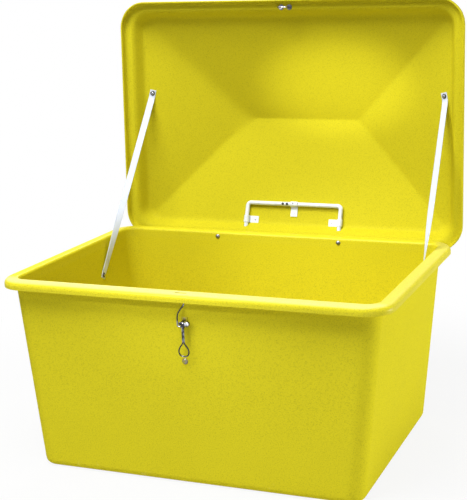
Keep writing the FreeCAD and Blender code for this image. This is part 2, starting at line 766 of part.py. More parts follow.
def make_strap_low_screws():
    stack = size("strap_sheet") + 2 * seat
    length = stack + size("strap_screw_length") - 1
    under = at(0, 0, -stack, Rotation(Vector(1, 0, 0), 180))
    screws = [domed_bolt(PAN_HEAD, size("strap_screw_radius"), length, strap_low_frame(side).multiply(under))
              for side in (-1, 1)]
    return group("strap_lower_screws", screws)


# Latch on the front wall
saddle_low = latch_z - size("saddle_height") / 2
saddle_high = latch_z + size("saddle_height") / 2
pin_y = -(outermost(saddle_low, saddle_high) + seat + size("ear_sheet") + size("latch_stand"))
saddle_face = pin_y + size("latch_stand")


def make_saddle():
    height = size("saddle_height")
    thickness = size("ear_sheet")
    width = 2 * (size("ear_inside") + thickness)
    plate = Part.makeBox(width, thickness, height, Vector(-width / 2, saddle_face, saddle_low))
    shape = plate
    across = Vector(1, 0, 0)
    radius = size("ear_round")
    for side in (-1, 1):
        x = size("ear_inside") if side > 0 else -size("ear_inside") - thickness
        ear = Part.makeBox(thickness, saddle_face - pin_y, 2 * radius, Vector(x, pin_y, latch_z - radius))
        nose = Part.makeCylinder(radius, thickness, Vector(x, pin_y, latch_z), across)
        shape = shape.fuse([ear, nose])
    bore = Part.makeCylinder(size("pin_radius") + fit, width, Vector(-width / 2, pin_y, latch_z), across)
    shape = shape.cut(bore)
    for side in (-1, 1):
        z = latch_z + side * size("saddle_screw_place")
        hole = Part.makeCylinder(size("saddle_screw_radius") + fit, 4 * thickness,
                                 Vector(0, saddle_face - thickness, z), Vector(0, 1, 0))
        shape = shape.cut(hole)
    return shaped("latch_saddle", shape.removeSplitter())


def make_cross_bolt():
    ear_face = size("ear_inside") + size("ear_sheet") + seat
    length = 2 * ear_face + size("dome_nut_hexagon") + size("past_nut")
    spot = at(-ear_face, pin_y, latch_z, Rotation(Vector(0, 1, 0), -90))
    return shaped("latch_cross_bolt", domed_bolt(KNOB_HEAD, size("pin_radius"), length, spot))


def make_dome_nut():
    bore = size("pin_radius") + fit
    start = size("ear_inside") + size("ear_sheet") + seat
    hexagon = size("dome_nut_hexagon")
    dome = size("dome_nut_radius")
    frame = at(start, pin_y, latch_z, Rotation(Vector(0, 1, 0), 90))
    base = hex_nut(bore, size("dome_nut_flats"), hexagon, Placement())
    above = Part.makeCylinder(dome, 2 * dome, Vector(0, 0, hexagon))
    cap = Part.makeSphere(dome, Vector(0, 0, hexagon)).common(above)
    cap = cap.cut(Part.makeCylinder(bore, hexagon + size("past_nut") + seat))
    return shaped("latch_dome_nut", moved(base.fuse(cap).removeSplitter(), frame))


def make_lever():
    """Two wires side by side from an eye on the cross bolt to a teardrop loop."""
    wire = size("wire_radius")
    pitch = wire + fit
    crank = size("crank")
    top = latch_z - crank
    neck = latch_z - size("handle_shaft")
    flare = neck - size("handle_flare")
    low = latch_z - size("handle_length") + wire
    heel = low + size("handle_heel")
    foot = size("handle_foot")
    half = size("handle_half")
    y = pin_y - size("handle_forward")
    outline = [(-pitch, y, top), (-pitch, y, neck), (-half, y, flare), (-half, y, heel), (-foot, y, low),
               (foot, y, low), (half, y, heel), (half, y, flare), (pitch, y, neck), (pitch, y, top)]
    loop = bent_wire(outline, size("handle_bend"), wire)
    eye_half = size("ear_inside") - size("eye_margin")
    yoke = size("yoke_half")
    yoke_low = top - 1.2 * yoke
    across = Vector(1, 0, 0)
    eye = Part.makeCylinder(size("pin_radius") + size("eye_wall"), 2 * eye_half,
                            Vector(-eye_half, pin_y, latch_z), across)
    block_low = Part.makeBox(2 * eye_half, 2 * yoke, latch_z - yoke_low, Vector(-eye_half, pin_y - yoke, yoke_low))
    shape = loop.fuse([eye, block_low])
    far_left = -2 * half
    shape = shape.cut(Part.makeCylinder(size("pin_radius") + fit, 4 * half, Vector(far_left, pin_y, latch_z), across))
    socket = size("hook_inside") + seat - far_left
    shape = shape.cut(Part.makeCylinder(wire + fit, socket, Vector(far_left, pin_y, top), across))
    return shaped("latch_lever", shape.removeSplitter())


def make_hook():
    """Wire cranked into the lever below the cross bolt, bowed aside and hooked over at the top."""
    side = -size("hook_side")
    foot = latch_z - size("crank")
    top = rim_top - size("hook_top_drop")
    rear = -outermost(rim_top, rim_top - size("hook_shoulder")) - size("hook_rear")
    tip = rear - size("hook_mouth")
    crown = top + size("hook_mouth") / 2
    slant = size("hook_slant")
    points = [(size("hook_inside"), pin_y, foot), (side, pin_y, foot), (side, pin_y, latch_z + size("hook_knee")),
              (0, rear, rim_top - size("hook_shoulder")), (0, rear, crown), (-slant, tip, crown),
              (-2 * slant, tip, top - size("hook_mouth"))]
    return shaped("latch_hook", bent_wire(points, size("hook_bend"), size("wire_radius")))


def make_latch_screws():
    inner = innermost(saddle_low, saddle_high)
    length = -saddle_face - inner + size("backing_sheet") + size("past_nut")
    screws = []
    for side in (-1, 1):
        z = latch_z + side * size("saddle_screw_place")
        spot = at(0, saddle_face - seat, z, FACE_FRONT)
        screws.append(domed_bolt(FLAT_HEAD, size("saddle_screw_radius"), length, spot))
    return group("latch_screws", screws)


def make_backing():
    width = size("backing_width")
    margin = size("backing_margin")
    low = front_bolt_z - margin
    top = latch_z + size("saddle_screw_place") + margin
    y = -innermost(low, top) + seat
    plate = Part.makeBox(width, size("backing_sheet"), top - low, Vector(-width / 2, y, low))
    spots = [(size("front_bolt_side"), front_bolt_z, size("front_bolt_radius") + size("hole_fit"))]
    for side in (-1, 1):
        spots.append((0, latch_z + side * size("saddle_screw_place"), size("saddle_screw_radius") + fit))
    for x, z, radius in spots:
        plate = plate.cut(Part.makeCylinder(radius, width, Vector(x, y - width / 2, z), Vector(0, 1, 0)))
    return shaped("latch_backing_plate", plate)


def make_front_bolt():
    radius = size("front_bolt_radius")
    thickness = size("front_washer_sheet")
    nut_height = size("front_nut_height")
    x = size("front_bolt_side")
    head_reach = ROUND_HEAD[0] * radius
    outer = -outermost(front_bolt_z - head_reach, front_bolt_z + head_reach) - seat
    low = front_bolt_z - size("backing_margin")
    top = latch_z + size("saddle_screw_place") + size("backing_margin")
    face = -innermost(low, top) + 2 * seat + size("backing_sheet")
    length = face + thickness + nut_height + size("past_nut") - outer
    bolt = domed_bolt(ROUND_HEAD, radius, length, at(x, outer, front_bolt_z, FACE_FRONT))
    ring = washer(radius + fit, WIDE_WASHER * radius, thickness, at(x, face, front_bolt_z, FACE_REAR))
    spot = at(x, face + thickness + seat, front_bolt_z, FACE_REAR)
    nut = hex_nut(radius + fit, size("front_nut_flats"), nut_height, spot)
    return [shaped("front_bolt", bolt), shaped("front_bolt_washer", ring), shaped("front_bolt_nut", nut)]


# Keeper under the lid's front flange
def make_keeper():
    radius = size("staple_radius")
    half = size("staple_half")
    margin = size("keeper_margin")
    shell = size("lid_shell")
    thickness = size("keeper_plate_sheet")
    nut_height = size("nut_height")
    riser_face = -(rear_lip - size("flange_width") + shell)
    plate_y = riser_face - size("hole_fit") - size("keeper_plate_width")
    plate_z = flange_z + shell + seat
    top = plate_z + thickness + nut_height + size("past_nut")
    bar = rim_top - size("staple_drop")
    points = [(-half, staple_y, top), (-half, staple_y, bar), (half, staple_y, bar), (half, staple_y, top)]
    staple = shaped("keeper_staple", bent_wire(points, size("staple_bend"), radius), OPEN)
    plate = Part.makeBox(2 * (half + margin), size("keeper_plate_width"), thickness,
                         Vector(-half - margin, plate_y, plate_z))
    flange_sheet = size("keeper_flange_sheet")
    inner, outer = [], []
    for side in (-1, 1):
        x = side * half
        plate = plate.cut(Part.makeCylinder(radius + fit, 4 * thickness, Vector(x, staple_y, plate_z - thickness)))
        spot = at(x, staple_y, plate_z + thickness + seat)
        outer.append(hex_nut(radius + fit, size("keeper_outer_flats"), nut_height, spot))
        spot = at(x, staple_y, flange_z - seat - flange_sheet)
        flanged = washer(radius + fit, size("keeper_flange"), flange_sheet, spot)
        spot = at(x, staple_y, flange_z - seat - nut_height)
        nut = hex_nut(radius + fit, size("keeper_inner_flats"), nut_height, spot)
        inner.append(nut.fuse(flanged).removeSplitter())
    return [staple, shaped("keeper_plate", plate, OPEN), group("keeper_outer_nuts", outer, OPEN),
            group("keeper_inner_nuts", inner, OPEN)]


parts = [make_tub(), make_lid(), make_rod()]
parts += [make_clip(name, frame) for name, frame in clip_frames().items()]
stack = size("clip_sheet") + 2 * seat
screws, rings, nuts = lid_screw_set(clip_screw_frames(), size("clip_screw_radius"), stack)
parts += [group("clip_screws", screws, OPEN), group("clip_washers", rings, OPEN), group("clip_nuts", nuts, OPEN)]
strap_spots = [side_panel(side, strap_high_x, strap_high_y) for side in (-1, 1)]
stack = size("strap_sheet") + 2 * seat
screws, rings, nuts = lid_screw_set(strap_spots, size("strap_screw_radius"), stack)
parts += [group("strap_upper_screws", screws, OPEN), group("strap_upper_washers", rings, OPEN)]
parts += [group("strap_upper_nuts", nuts, OPEN), make_strap_low_screws()]
parts += [make_strap(side) for side in (-1, 1)]
parts += [make_bracket(side) for side in (-1, 1)]
parts += make_bracket_fasteners()
parts += [make_saddle(), make_cross_bolt(), make_dome_nut(), make_lever(), make_hook(), make_latch_screws()]
parts += [make_backing()] + make_front_bolt() + make_keeper()
doc.recompute()

# Every object is sound before anything is written
for item in doc.Objects:
    if {"Invalid", "Error"} & set(item.State):
        raise RuntimeError(f"{item.Label} failed: {item.State}")
for item in parts:
    if item.Shape.isNull() or not item.Shape.isValid() or not item.Shape.Solids:
        raise RuntimeError(f"{item.Label} has no sound solid")

os.makedirs("parts", exist_ok=True)
for item in parts:
    item.Shape.exportStep(f"parts/{item.Label}.step")
    box = item.Shape.BoundBox
    print(f"{item.Label:22s} solids {len(item.Shape.Solids)} volume {item.Shape.Volume / 1000:9.2f} cm3 "
          f"x {box.XMin:7.1f} {box.XMax:7.1f} y {box.YMin:7.1f} {box.YMax:7.1f} z {box.ZMin:7.1f} {box.ZMax:7.1f}")
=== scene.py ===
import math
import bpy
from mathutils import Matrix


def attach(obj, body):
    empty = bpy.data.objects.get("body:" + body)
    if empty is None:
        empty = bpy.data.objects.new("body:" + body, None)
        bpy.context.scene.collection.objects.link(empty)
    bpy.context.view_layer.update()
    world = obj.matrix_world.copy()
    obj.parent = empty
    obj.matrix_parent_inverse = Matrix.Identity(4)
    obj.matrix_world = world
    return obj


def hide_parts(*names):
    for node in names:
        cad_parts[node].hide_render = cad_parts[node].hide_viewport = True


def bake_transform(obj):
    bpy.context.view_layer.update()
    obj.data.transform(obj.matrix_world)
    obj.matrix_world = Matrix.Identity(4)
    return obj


bl_info = {
    "name": "Grit Bin",
    "version": (1, 0, 0),
    "blender": (4, 5, 0),
    "location": "3D View > Sidebar > Grit Bin",
    "description": "Dresses a moulded grit bin: finishes, straps, fasteners and a plain stage",
    "category": "Object",
}

import bpy
from bpy.props import FloatProperty, FloatVectorProperty, PointerProperty
from mathutils import Matrix, Vector

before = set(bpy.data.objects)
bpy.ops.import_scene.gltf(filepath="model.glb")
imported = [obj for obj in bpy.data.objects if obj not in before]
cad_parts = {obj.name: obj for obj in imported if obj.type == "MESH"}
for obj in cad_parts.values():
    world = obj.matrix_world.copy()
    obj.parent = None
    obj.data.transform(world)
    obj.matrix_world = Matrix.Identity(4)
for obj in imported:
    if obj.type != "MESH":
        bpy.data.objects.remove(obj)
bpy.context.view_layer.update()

# Places taken from the solids, in metres. The lid's own are those of the shut lid.
HINGE = Vector((0, 0.344, 0.443))
SWING = math.radians(92.5)
OPENING = Matrix.Rotation(-SWING, 3, "X")
WALL_LEAN = math.atan(50 / 485)
ROOF_LEAN = math.atan(100 / 292)
ROD_SLOPE = math.atan(100 / 299)
ROD_HOLE = Vector((0.143, 0.308, 0.5185))
ROD_HOLE_RADIUS = 0.0071
# The straps' screws on the right, with their depth behind the moulding
STRAP_FOOT = Vector((0.4548, 0.120, 0.386))
STRAP_HEAD = Vector((0.442, -0.077, 0.53753))
FOOT_DEPTH = 0.0059
HEAD_DEPTH = 0.0126
# The clips' screws on the open lid
CLIP_SEATS = ((-0.117, 0.4393, 0.4942), (0, 0.4473, 0.5152), (0.117, 0.4393, 0.4942))
CLIP_DEPTH = 0.0103
# A strap or a clip lifts the screw's head this far off the moulding
SEAT_LIFT = 0.0021
# Middle of the rod's bar, and each stud's x, size, height above that middle and upward tilt
ROD_BAR = Vector((0, 0.4465, 0.5429))
ROD_STUDS = ((-0.033, 1.2, 0.0056, 0.32), (-0.020, 1.2, 0.0056, 0.32),
             (-0.0015, 0.65, 0.0078, 0.7), (0.0124, 0.5, 0.0056, 0.7))
# The latch's cross bolt, and the bolt below the latch
PIN = Vector((0, -0.3202, 0.410))
FRONT_BOLT = Vector((-0.005, -0.311, 0.313))

# Colours of wear, dirt, painted highlights and small steel parts
WHITE = (1, 1, 1, 1)
DUST = (0.82, 0.78, 0.30)
RIM_HIGHLIGHT = (0.88, 0.83, 0.32)
CHIP = (0.25, 0.24, 0.22)
HANDLED_GLINT = (0.75, 0.77, 0.82)
BARE_STEEL = (0.30, 0.28, 0.25)
GRIME = (0.16, 0.11, 0.06)
AGED_STEEL = (0.24, 0.24, 0.26)
BRIGHT_STEEL = (0.16, 0.16, 0.18)
RUBBER = (0.012, 0.012, 0.013)
RUBBER_BLOOM = (0.03, 0.03, 0.03)
FLOOR_TONES = (0.58, 0.58, 0.58), (0.62, 0.62, 0.62)

# The photograph's frame in pixels, the lens fitted to it, and the sensor in millimetres
PICTURE_WIDTH = 467
PICTURE_HEIGHT = 500
FOCAL_PIXELS = 1187.93
CENTRE_X = 295
CENTRE_Y = 225
SENSOR = 36

# Sockets of the colour Mix node
MIX_SHARE, MIX_FIRST, MIX_SECOND, MIX_RESULT = 0, 6, 7, 2

# Doubled points of small turned and bent pieces lie closer than this
TOUCHING = 0.00002


# Sizes and colours that a user would change
class BinColours(bpy.types.PropertyGroup):
    """Pigment, coating, yarn and metals."""

    shell: FloatVectorProperty(
        name="Shell", description="Pigment of the moulded tub and lid",
        subtype="COLOR", size=3, min=0, max=1, default=(0.70, 0.62, 0.021))
    # A darker copy of the shell colour for the lid: partly a different batch, partly painted
    # shade, since the lid's panels catch more light than the tub's walls
    lid_batch_and_shade: FloatProperty(
        name="Lid tone", description="How bright the lid's batch is beside the tub's",
        min=0.5, max=1, default=0.83)
    paint: FloatVectorProperty(
        name="Paint", description="White coating of the hinge rod and its clips",
        subtype="COLOR", size=3, min=0, max=1, default=(0.75, 0.80, 0.90))
    webbing: FloatVectorProperty(
        name="Webbing", description="Yarn of the stay straps",
        subtype="COLOR", size=3, min=0, max=1, default=(0.66, 0.72, 0.86))
    zinc: FloatVectorProperty(
        name="Zinc", description="Plated nuts, washers and screws",
        subtype="COLOR", size=3, min=0, max=1, default=(0.34, 0.35, 0.37))
    wire: FloatVectorProperty(
        name="Wire", description="Latch wire and saddle",
        subtype="COLOR", size=3, min=0, max=1, default=(0.055, 0.055, 0.060))


class LidSizes(bpy.types.PropertyGroup):
    """Inside of the shut lid; the shell's thickness goes outward from it."""

    length: FloatProperty(
        name="Length", description="Inside the lip", unit="LENGTH", default=1.006)
    depth: FloatProperty(
        name="Depth", description="Inside the lip, front to back", unit="LENGTH", default=0.676)
    corner: FloatProperty(
        name="Corner", description="Radius inside the lip", unit="LENGTH", default=0.070)
    lip_low: FloatProperty(
        name="Lip", description="Height of the lip's edge", unit="LENGTH", default=0.4732)
    flange: FloatProperty(
        name="Flange", description="Height of the flange's underside", unit="LENGTH",
        default=0.492)
    flange_width: FloatProperty(
        name="Flange width", description="From the lip to the riser", unit="LENGTH",
        default=0.025)
    eave: FloatProperty(
        name="Eave", description="Height where the roof starts", unit="LENGTH", default=0.530)
    riser_run: FloatProperty(
        name="Riser run", description="How far the riser leans in", unit="LENGTH", default=0.014)
    peak: FloatProperty(
        name="Peak", description="Height of the ridge", unit="LENGTH", default=0.630)
    ridge_half: FloatProperty(
        name="Ridge", description="Half the ridge's length", unit="LENGTH", default=0.172)
    shell: FloatProperty(
        name="Shell", description="Thickness of the moulding", unit="LENGTH", default=0.0048)
    grid: FloatProperty(
        name="Grid", description="Mesh size of the softened moulding", unit="LENGTH",
        default=0.005)


class StrapSizes(bpy.types.PropertyGroup):
    """Flat webbing and the way it lies and twists."""

    width: FloatProperty(
        name="Width", description="Across the webbing", unit="LENGTH", default=0.018)
    thickness: FloatProperty(
        name="Thickness", description="Of the webbing", unit="LENGTH", default=0.0018)
    end: FloatProperty(
        name="End", description="Webbing past each screw", unit="LENGTH", default=0.010)
    flat: FloatProperty(
        name="Flat", description="Webbing held flat beside each screw", unit="LENGTH",
        default=0.008)
    ease: FloatProperty(
        name="Ease", description="Where the twist starts, from each screw", unit="LENGTH",
        default=0.016)
    lift: FloatProperty(
        name="Lift", description="How far the webbing leaves its seat there", unit="LENGTH",
        default=0.0015)
    twist: FloatProperty(
        name="Twist", description="Share of the length, from the foot, that twists",
        min=0.1, max=1, default=0.45)


class FastenerSizes(bpy.types.PropertyGroup):
    """Screws and latch wires."""

    head: FloatProperty(
        name="Head", description="Radius of a screw's head", unit="LENGTH", default=0.005)
    rise: FloatProperty(
        name="Rise", description="Height of a screw's head", unit="LENGTH", default=0.0028)
    shank: FloatProperty(
        name="Shank", description="Radius of a screw's shank", unit="LENGTH", default=0.0024)
    cup: FloatProperty(
        name="Cup washer", description="Radius under the strap screws", unit="LENGTH",
        default=0.0070)
    wire: FloatProperty(
        name="Wire", description="Radius of the latch's handle", unit="LENGTH", default=0.0017)
    hook: FloatProperty(
        name="Hook", description="Radius of the latch's hook", unit="LENGTH", default=0.0017)


class StageSettings(bpy.types.PropertyGroup):
    """Power of each lamp, and the camera's place on its circle."""

    key_power: FloatProperty(
        name="Key", description="Lamp high in front, a little to the left", unit="POWER",
        min=0, default=138.0)
    top_power: FloatProperty(
        name="Top", description="Lamp overhead", unit="POWER", min=0, default=66.0)
    side_power: FloatProperty(
        name="Side", description="Low lamp to the right", unit="POWER", min=0, default=46.0)
    front_power: FloatProperty(
        name="Front", description="Weak lamp low in front, to the right", unit="POWER",
        min=0, default=10.0)
    back_power: FloatProperty(
        name="Back", description="Lamp high behind", unit="POWER", min=0, default=40.0)
    inner_power: FloatProperty(
        name="Inner", description="Narrow lamp on the tub's rear wall", unit="POWER",
        min=0, default=160.0)
    gleam_power: FloatProperty(
        name="Gleam", description="Narrow lamp on the inside of the lid", unit="POWER",
        min=0, default=230.0)
    fill: FloatProperty(
        name="Fill", description="Strength of the even light from all round",
        min=0, default=0.18)
    azimuth: FloatProperty(
        name="Azimuth", description="Camera's turn to the right of the front",
        subtype="ANGLE", default=math.radians(20.39))
    elevation: FloatProperty(
        name="Elevation", description="Camera's height as an angle",
        subtype="ANGLE", default=math.radians(12.21))
    roll: FloatProperty(
        name="Roll", description="Camera's turn about its own line of sight",
        subtype="ANGLE", default=math.radians(-1.624))
    distance: FloatProperty(
        name="Distance", description="From the camera to the point it circles", unit="LENGTH",
        default=2.966)
    aim_x: FloatProperty(
        name="Aim X", description="Point the camera circles, to the right", unit="LENGTH",
        default=0.167)
    aim_z: FloatProperty(
        name="Aim Z", description="Point the camera circles, up", unit="LENGTH", default=0.585)


# Shader sums as plain Python
class Wire:
    """A shader socket that takes part in arithmetic: each operator adds its Math node."""

    def __init__(self, nodes, socket):
        self.nodes = nodes
        self.socket = socket

    def __add__(self, other):
        return self.nodes.maths("ADD", self, other)

    __radd__ = __add__

    def __mul__(self, other):
        return self.nodes.maths("MULTIPLY", self, other)

    __rmul__ = __mul__

    def __sub__(self, other):
        return self.nodes.maths("SUBTRACT", self, other)

    def __rsub__(self, other):
        return self.nodes.maths("SUBTRACT", other, self)

    def __pow__(self, other):
        return self.nodes.maths("POWER", self, other)

    def __abs__(self):
        return self.nodes.maths("ABSOLUTE", self)


class Nodes:
    """A node tree, emptied and built anew through one method."""

    def __init__(self, tree):
        self.tree = tree
        tree.nodes.clear()

    def node(self, kind, settings=None, values=None, output=0):
        """Add a node: its settings first, then its sockets' values or links."""
        made = self.tree.nodes.new(kind)
        for name, value in (settings or {}).items():
            setattr(made, name, value)
        for name, value in (values or {}).items():
            if isinstance(value, Wire):
                self.tree.links.new(value.socket, made.inputs[name])
            else:
                made.inputs[name].default_value = value
        return Wire(self, made.outputs[output]) if made.outputs else None

    def maths(self, operation, *values):
        return self.node("ShaderNodeMath", {"operation": operation}, dict(enumerate(values)))

    def background_rays(self):
        """1 for the rays that see a white background: the camera's, a mirror's and glass's."""
        seen = self.node("ShaderNodeLightPath", output="Is Camera Ray")
        rays = seen.socket.node.outputs
        for ray in ("Is Glossy Ray", "Is Transmission Ray"):
            seen = self.maths("MAXIMUM", seen, Wire(self, rays[ray]))
        return seen


class Finish(Nodes):
    """One procedural material on the object's own coordinates."""

    def __init__(self, name):
        self.material = bpy.data.materials.new(name)
        self.material.use_nodes = True
        super().__init__(self.material.node_tree)
        self.place = self.node("ShaderNodeTexCoord", output="Object")

    def noise(self, scale, detail, roughness=0.5):
        return self.node("ShaderNodeTexNoise", {"noise_dimensions": "3D"},
                         {"Vector": self.place, "Scale": scale, "Detail": detail,
                          "Roughness": roughness})

    def between(self, value, low, high):
        """0 below low, 1 above high, and a smooth rise between."""
        return self.node("ShaderNodeMapRange", {"interpolation_type": "SMOOTHSTEP"},
                         {"Value": value, "From Min": low, "From Max": high})

    def patches(self, low, high, *noise):
        """Noise sharpened into patches."""
        return self.between(self.noise(*noise), low, high)

    def mix(self, share, first, second):
        """The first colour where the share is 0, the second where it is 1."""
        values = {MIX_FIRST: self.colour(first), MIX_SECOND: self.colour(second),
                  MIX_SHARE: share}
        return self.node("ShaderNodeMix", {"data_type": "RGBA"}, values, output=MIX_RESULT)

    @staticmethod
    def colour(value):
        return value if isinstance(value, Wire) else (*value, 1)

    def axes(self, place=None):
        parts = self.node("ShaderNodeSeparateXYZ", None, {0: place or self.place})
        return [Wire(self, output) for output in parts.socket.node.outputs]

    def bump(self, height, distance, strength, normal=None):
        values = {"Height": height, "Distance": distance, "Strength": strength}
        if normal:
            values["Normal"] = normal
        return self.node("ShaderNodeBump", None, values)

    def surface(self, **values):
        named = {name.replace("_", " "): value for name, value in values.items()}
        return self.close(self.node("ShaderNodeBsdfPrincipled", None, named))

    def close(self, shader):
        self.node("ShaderNodeOutputMaterial", None, {"Surface": shader})
        return self.material


def shade(colour, factor):
    return tuple(channel * factor for channel in colour)


def shell_finish(colour, rim):
    """Pigmented plastic: cloudy tone, fine fleck, slow waves of the mould and dust low down.
    The tub's rim is polished, and a pale highlight is painted along the top of its front and
    right side."""
    finish = Finish("tub_plastic" if rim else "lid_plastic")
    clouds = finish.patches(0.3, 0.7, 2.2, 4, 0.55)
    speckle = finish.patches(0.32, 0.68, 430, 2, 0.7)
    dark_fleck = finish.patches(0.46, 0.75, 360, 2, 0.7)
    base = finish.mix(clouds, shade(colour, 0.95), shade(colour, 1.03))
    base = finish.mix(speckle, shade(colour, 1.06), base)
    base = finish.mix(dark_fleck * 0.9, base, shade(colour, 0.74))
    x, y, z = finish.axes()
    worn = finish.patches(0.6, 0.72, 26, 6, 0.7) * (1 - finish.between(z, 0.0, 0.05))
    base = finish.mix(worn * 0.5, base, DUST)
    polish = 0.02
    if rim:
        grain = finish.patches(0.35, 0.6, 420, 2, 0.7) * 0.35 + 0.65
        front = finish.between(0 - y, 0.27, 0.31)
        right = finish.between(x, 0.44, 0.48) * 0.5
        top = finish.between(z, 0.4790, 0.4842)
        # Painted highlight: a pale, grainy band along the top of the rim's front and right side,
        # where the light glances off
        painted_highlight = top * finish.maths("MAXIMUM", front, right) * grain
        base = finish.mix(painted_highlight * 0.7, base, RIM_HIGHLIGHT)
        polish = finish.between(z, 0.452, 0.466) * 0.25
    roughness = 0.42 + speckle * 0.08 + worn * 0.2 + clouds * 0.04
    waves = finish.bump(finish.noise(3.5, 2, 0.4), 0.004, 0.35)
    stipple = finish.bump(speckle, 0.00025, 0.5, waves)
    return finish.surface(Base_Color=base, Roughness=roughness, Normal=stipple,
                          Coat_Weight=polish, Coat_Roughness=0.3, Specular_IOR_Level=0.0015)


def paint_finish(colour):
    """Powder coat over steel: orange peel, grey grime and a few chips."""
    finish = Finish("white_powder_coat")
    peel = finish.bump(finish.noise(900, 2, 0.5), 0.0002, 0.4)
    grime = finish.patches(0.52, 0.72, 60, 5, 0.65)
    chips = finish.patches(0.70, 0.72, 240, 3, 0.6)
    base = finish.mix(grime * 0.35, colour, shade(colour, 0.62))
    base = finish.mix(chips, base, CHIP)
    return finish.surface(Base_Color=base, Roughness=0.34 + grime * 0.2 + chips * 0.2,
                          Normal=peel)


def steel_finish(name, colour, roughness, grain, worn=0.0):
    """Plated or drawn steel: uneven sheen, fine lines, darker spots, and bright patches that are
    handling wear and painted glints.
    """
    finish = Finish(name)
    cloud = finish.noise(90, 4, 0.6)
    spots = finish.patches(0.6, 0.72, 380, 4, 0.65)
    base = finish.mix(cloud, shade(colour, 0.82), shade(colour, 1.12))
    if worn:
        # Bright patches: handling wear, and painted glints that stand in for highlights along the
        # wire
        base = finish.mix(finish.patches(0.5, 0.6, 55, 2) * worn, base, HANDLED_GLINT)
    base = finish.mix(spots * 0.5, base, shade(colour, 0.45))
    lines = finish.bump(finish.noise(grain, 3, 0.6), 0.0001, 0.5)
    return finish.surface(Base_Color=base, Metallic=1.0,
                          Roughness=roughness + cloud * 0.14 + spots * 0.2, Normal=lines)


def sprayed_finish(colour):
    """Bolt head that caught the wall's colour: yellow film worn through to grey steel."""
    finish = Finish("sprayed_bolt")
    film = finish.patches(0.42, 0.58, 260, 4, 0.6)
    grime = finish.patches(0.5, 0.7, 700, 3, 0.6)
    base = finish.mix(film, BARE_STEEL, shade(colour, 0.55))
    x, _, z = finish.axes()
    across = ((x - FRONT_BOLT.x) ** 2 + (z - FRONT_BOLT.z) ** 2) ** 0.5
    # The head also turns darker in a ring towards its edge
    rim = finish.between(across, 0.0045, 0.0066)
    base = finish.mix(grime * 0.4 + rim * 0.5, base, GRIME)
    return finish.surface(Base_Color=base, Metallic=0.9 - film * 0.8,
                          Roughness=0.3 + film * 0.15 + grime * 0.1,
                          Normal=finish.bump(film, 0.0001, 0.5))


def saddle_finish(steel, colour):
    """Dark steel that caught the wall's colour above and below the cross bolt."""
    finish = Finish("saddle_steel")
    _, _, z = finish.axes()
    film = finish.patches(0.3, 0.45, 300, 4, 0.6)
    film = film * finish.between(abs(z - PIN.z), 0.0035, 0.0050)
    lines = finish.noise(900, 3, 0.6)
    base = finish.mix(lines, shade(steel, 0.8), shade(steel, 1.6))
    base = finish.mix(film, base, shade(colour, 0.8))
    return finish.surface(Base_Color=base, Metallic=1 - film * 0.95,
                          Roughness=0.2 + film * 0.25, Normal=finish.bump(lines, 0.0001, 0.5))


def webbing_finish(colour):
    """Flat woven strap: ribs across, yarns along, grey handling marks, and edges darkened as
    painted shade.
    """
    finish = Finish("strap_webbing")
    along, across, _ = finish.axes(finish.node("ShaderNodeTexCoord", output="UV"))
    rib_pitch, yarn_pitch = 0.0016, 0.0012
    rib = finish.maths("SINE", along * (2 * math.pi / rib_pitch))
    yarn = finish.maths("SINE", across * (2 * math.pi / yarn_pitch))
    weave = rib * yarn * 0.5 + 0.5
    marks = finish.patches(0.5, 0.75, 22, 5, 0.6)
    # Painted shade: the webbing darkens towards both edges
    edge = finish.between(abs(across), 0.0076, 0.0088)
    base = finish.mix(weave * 0.25 + marks * 0.25, colour, shade(colour, 0.72))
    base = finish.mix(edge * 0.4, base, shade(colour, 0.8))
    return finish.surface(Base_Color=base, Roughness=0.6 + marks * 0.15,
                          Normal=finish.bump(weave, 0.0002, 0.6), Sheen_Weight=0.15)


def rubber_finish():
    """Black rubber with a faint grey bloom."""
    finish = Finish("dark_rubber")
    bloom = finish.patches(0.45, 0.7, 900, 3)
    return finish.surface(Base_Color=finish.mix(bloom, RUBBER, RUBBER_BLOOM),
                          Roughness=0.6 + bloom * 0.15, Normal=finish.bump(bloom, 0.0001, 0.4))


# Mesh tools
def clear_selection():
    if bpy.context.object and bpy.context.object.mode != "OBJECT":
        bpy.ops.object.mode_set(mode="OBJECT")
    bpy.ops.object.select_all(action="DESELECT")


def take(item):
    clear_selection()
    item.select_set(True)
    bpy.context.view_layer.objects.active = item


def edit(item):
    """Enter edit mode with the whole piece selected."""
    take(item)
    bpy.ops.object.mode_set(mode="EDIT")
    bpy.ops.mesh.select_all(action="SELECT")


def close_up(gap):
    """Merge doubled points, turn the faces outward and leave edit mode."""
    bpy.ops.mesh.select_all(action="SELECT")
    bpy.ops.mesh.remove_doubles(threshold=gap)
    bpy.ops.mesh.normals_make_consistent(inside=False)
    bpy.ops.object.mode_set(mode="OBJECT")


def modified(item, kind, **settings):
    """Add a modifier, set it and apply it."""
    made = item.modifiers.new(kind.lower(), kind)
    for name, value in settings.items():
        setattr(made, name, value)
    take(item)
    bpy.ops.object.modifier_apply(modifier=made.name)


def rounded(item, width, segments):
    """Round the sharp edges only."""
    modified(item, "BEVEL", width=width, segments=segments, limit_method="ANGLE",
             angle_limit=math.radians(60))


def cut(item, cutter):
    """Take the cutter's shape out of the item, and the cutter out of the scene."""
    modified(item, "BOOLEAN", operation="DIFFERENCE", object=cutter, solver="EXACT")
    bpy.data.objects.remove(cutter)


def settle(item, name, angle=30):
    """Name the piece, put its place into its mesh and smooth what is nearly flat."""
    take(item)
    item.name = name
    item.data.name = name
    bpy.ops.object.transform_apply(location=True, rotation=True, scale=True)
    bpy.ops.object.shade_smooth_by_angle(angle=math.radians(angle))
    return item


def paint(item, *materials):
    item.data.materials.clear()
    for material in materials:
        item.data.materials.append(material)


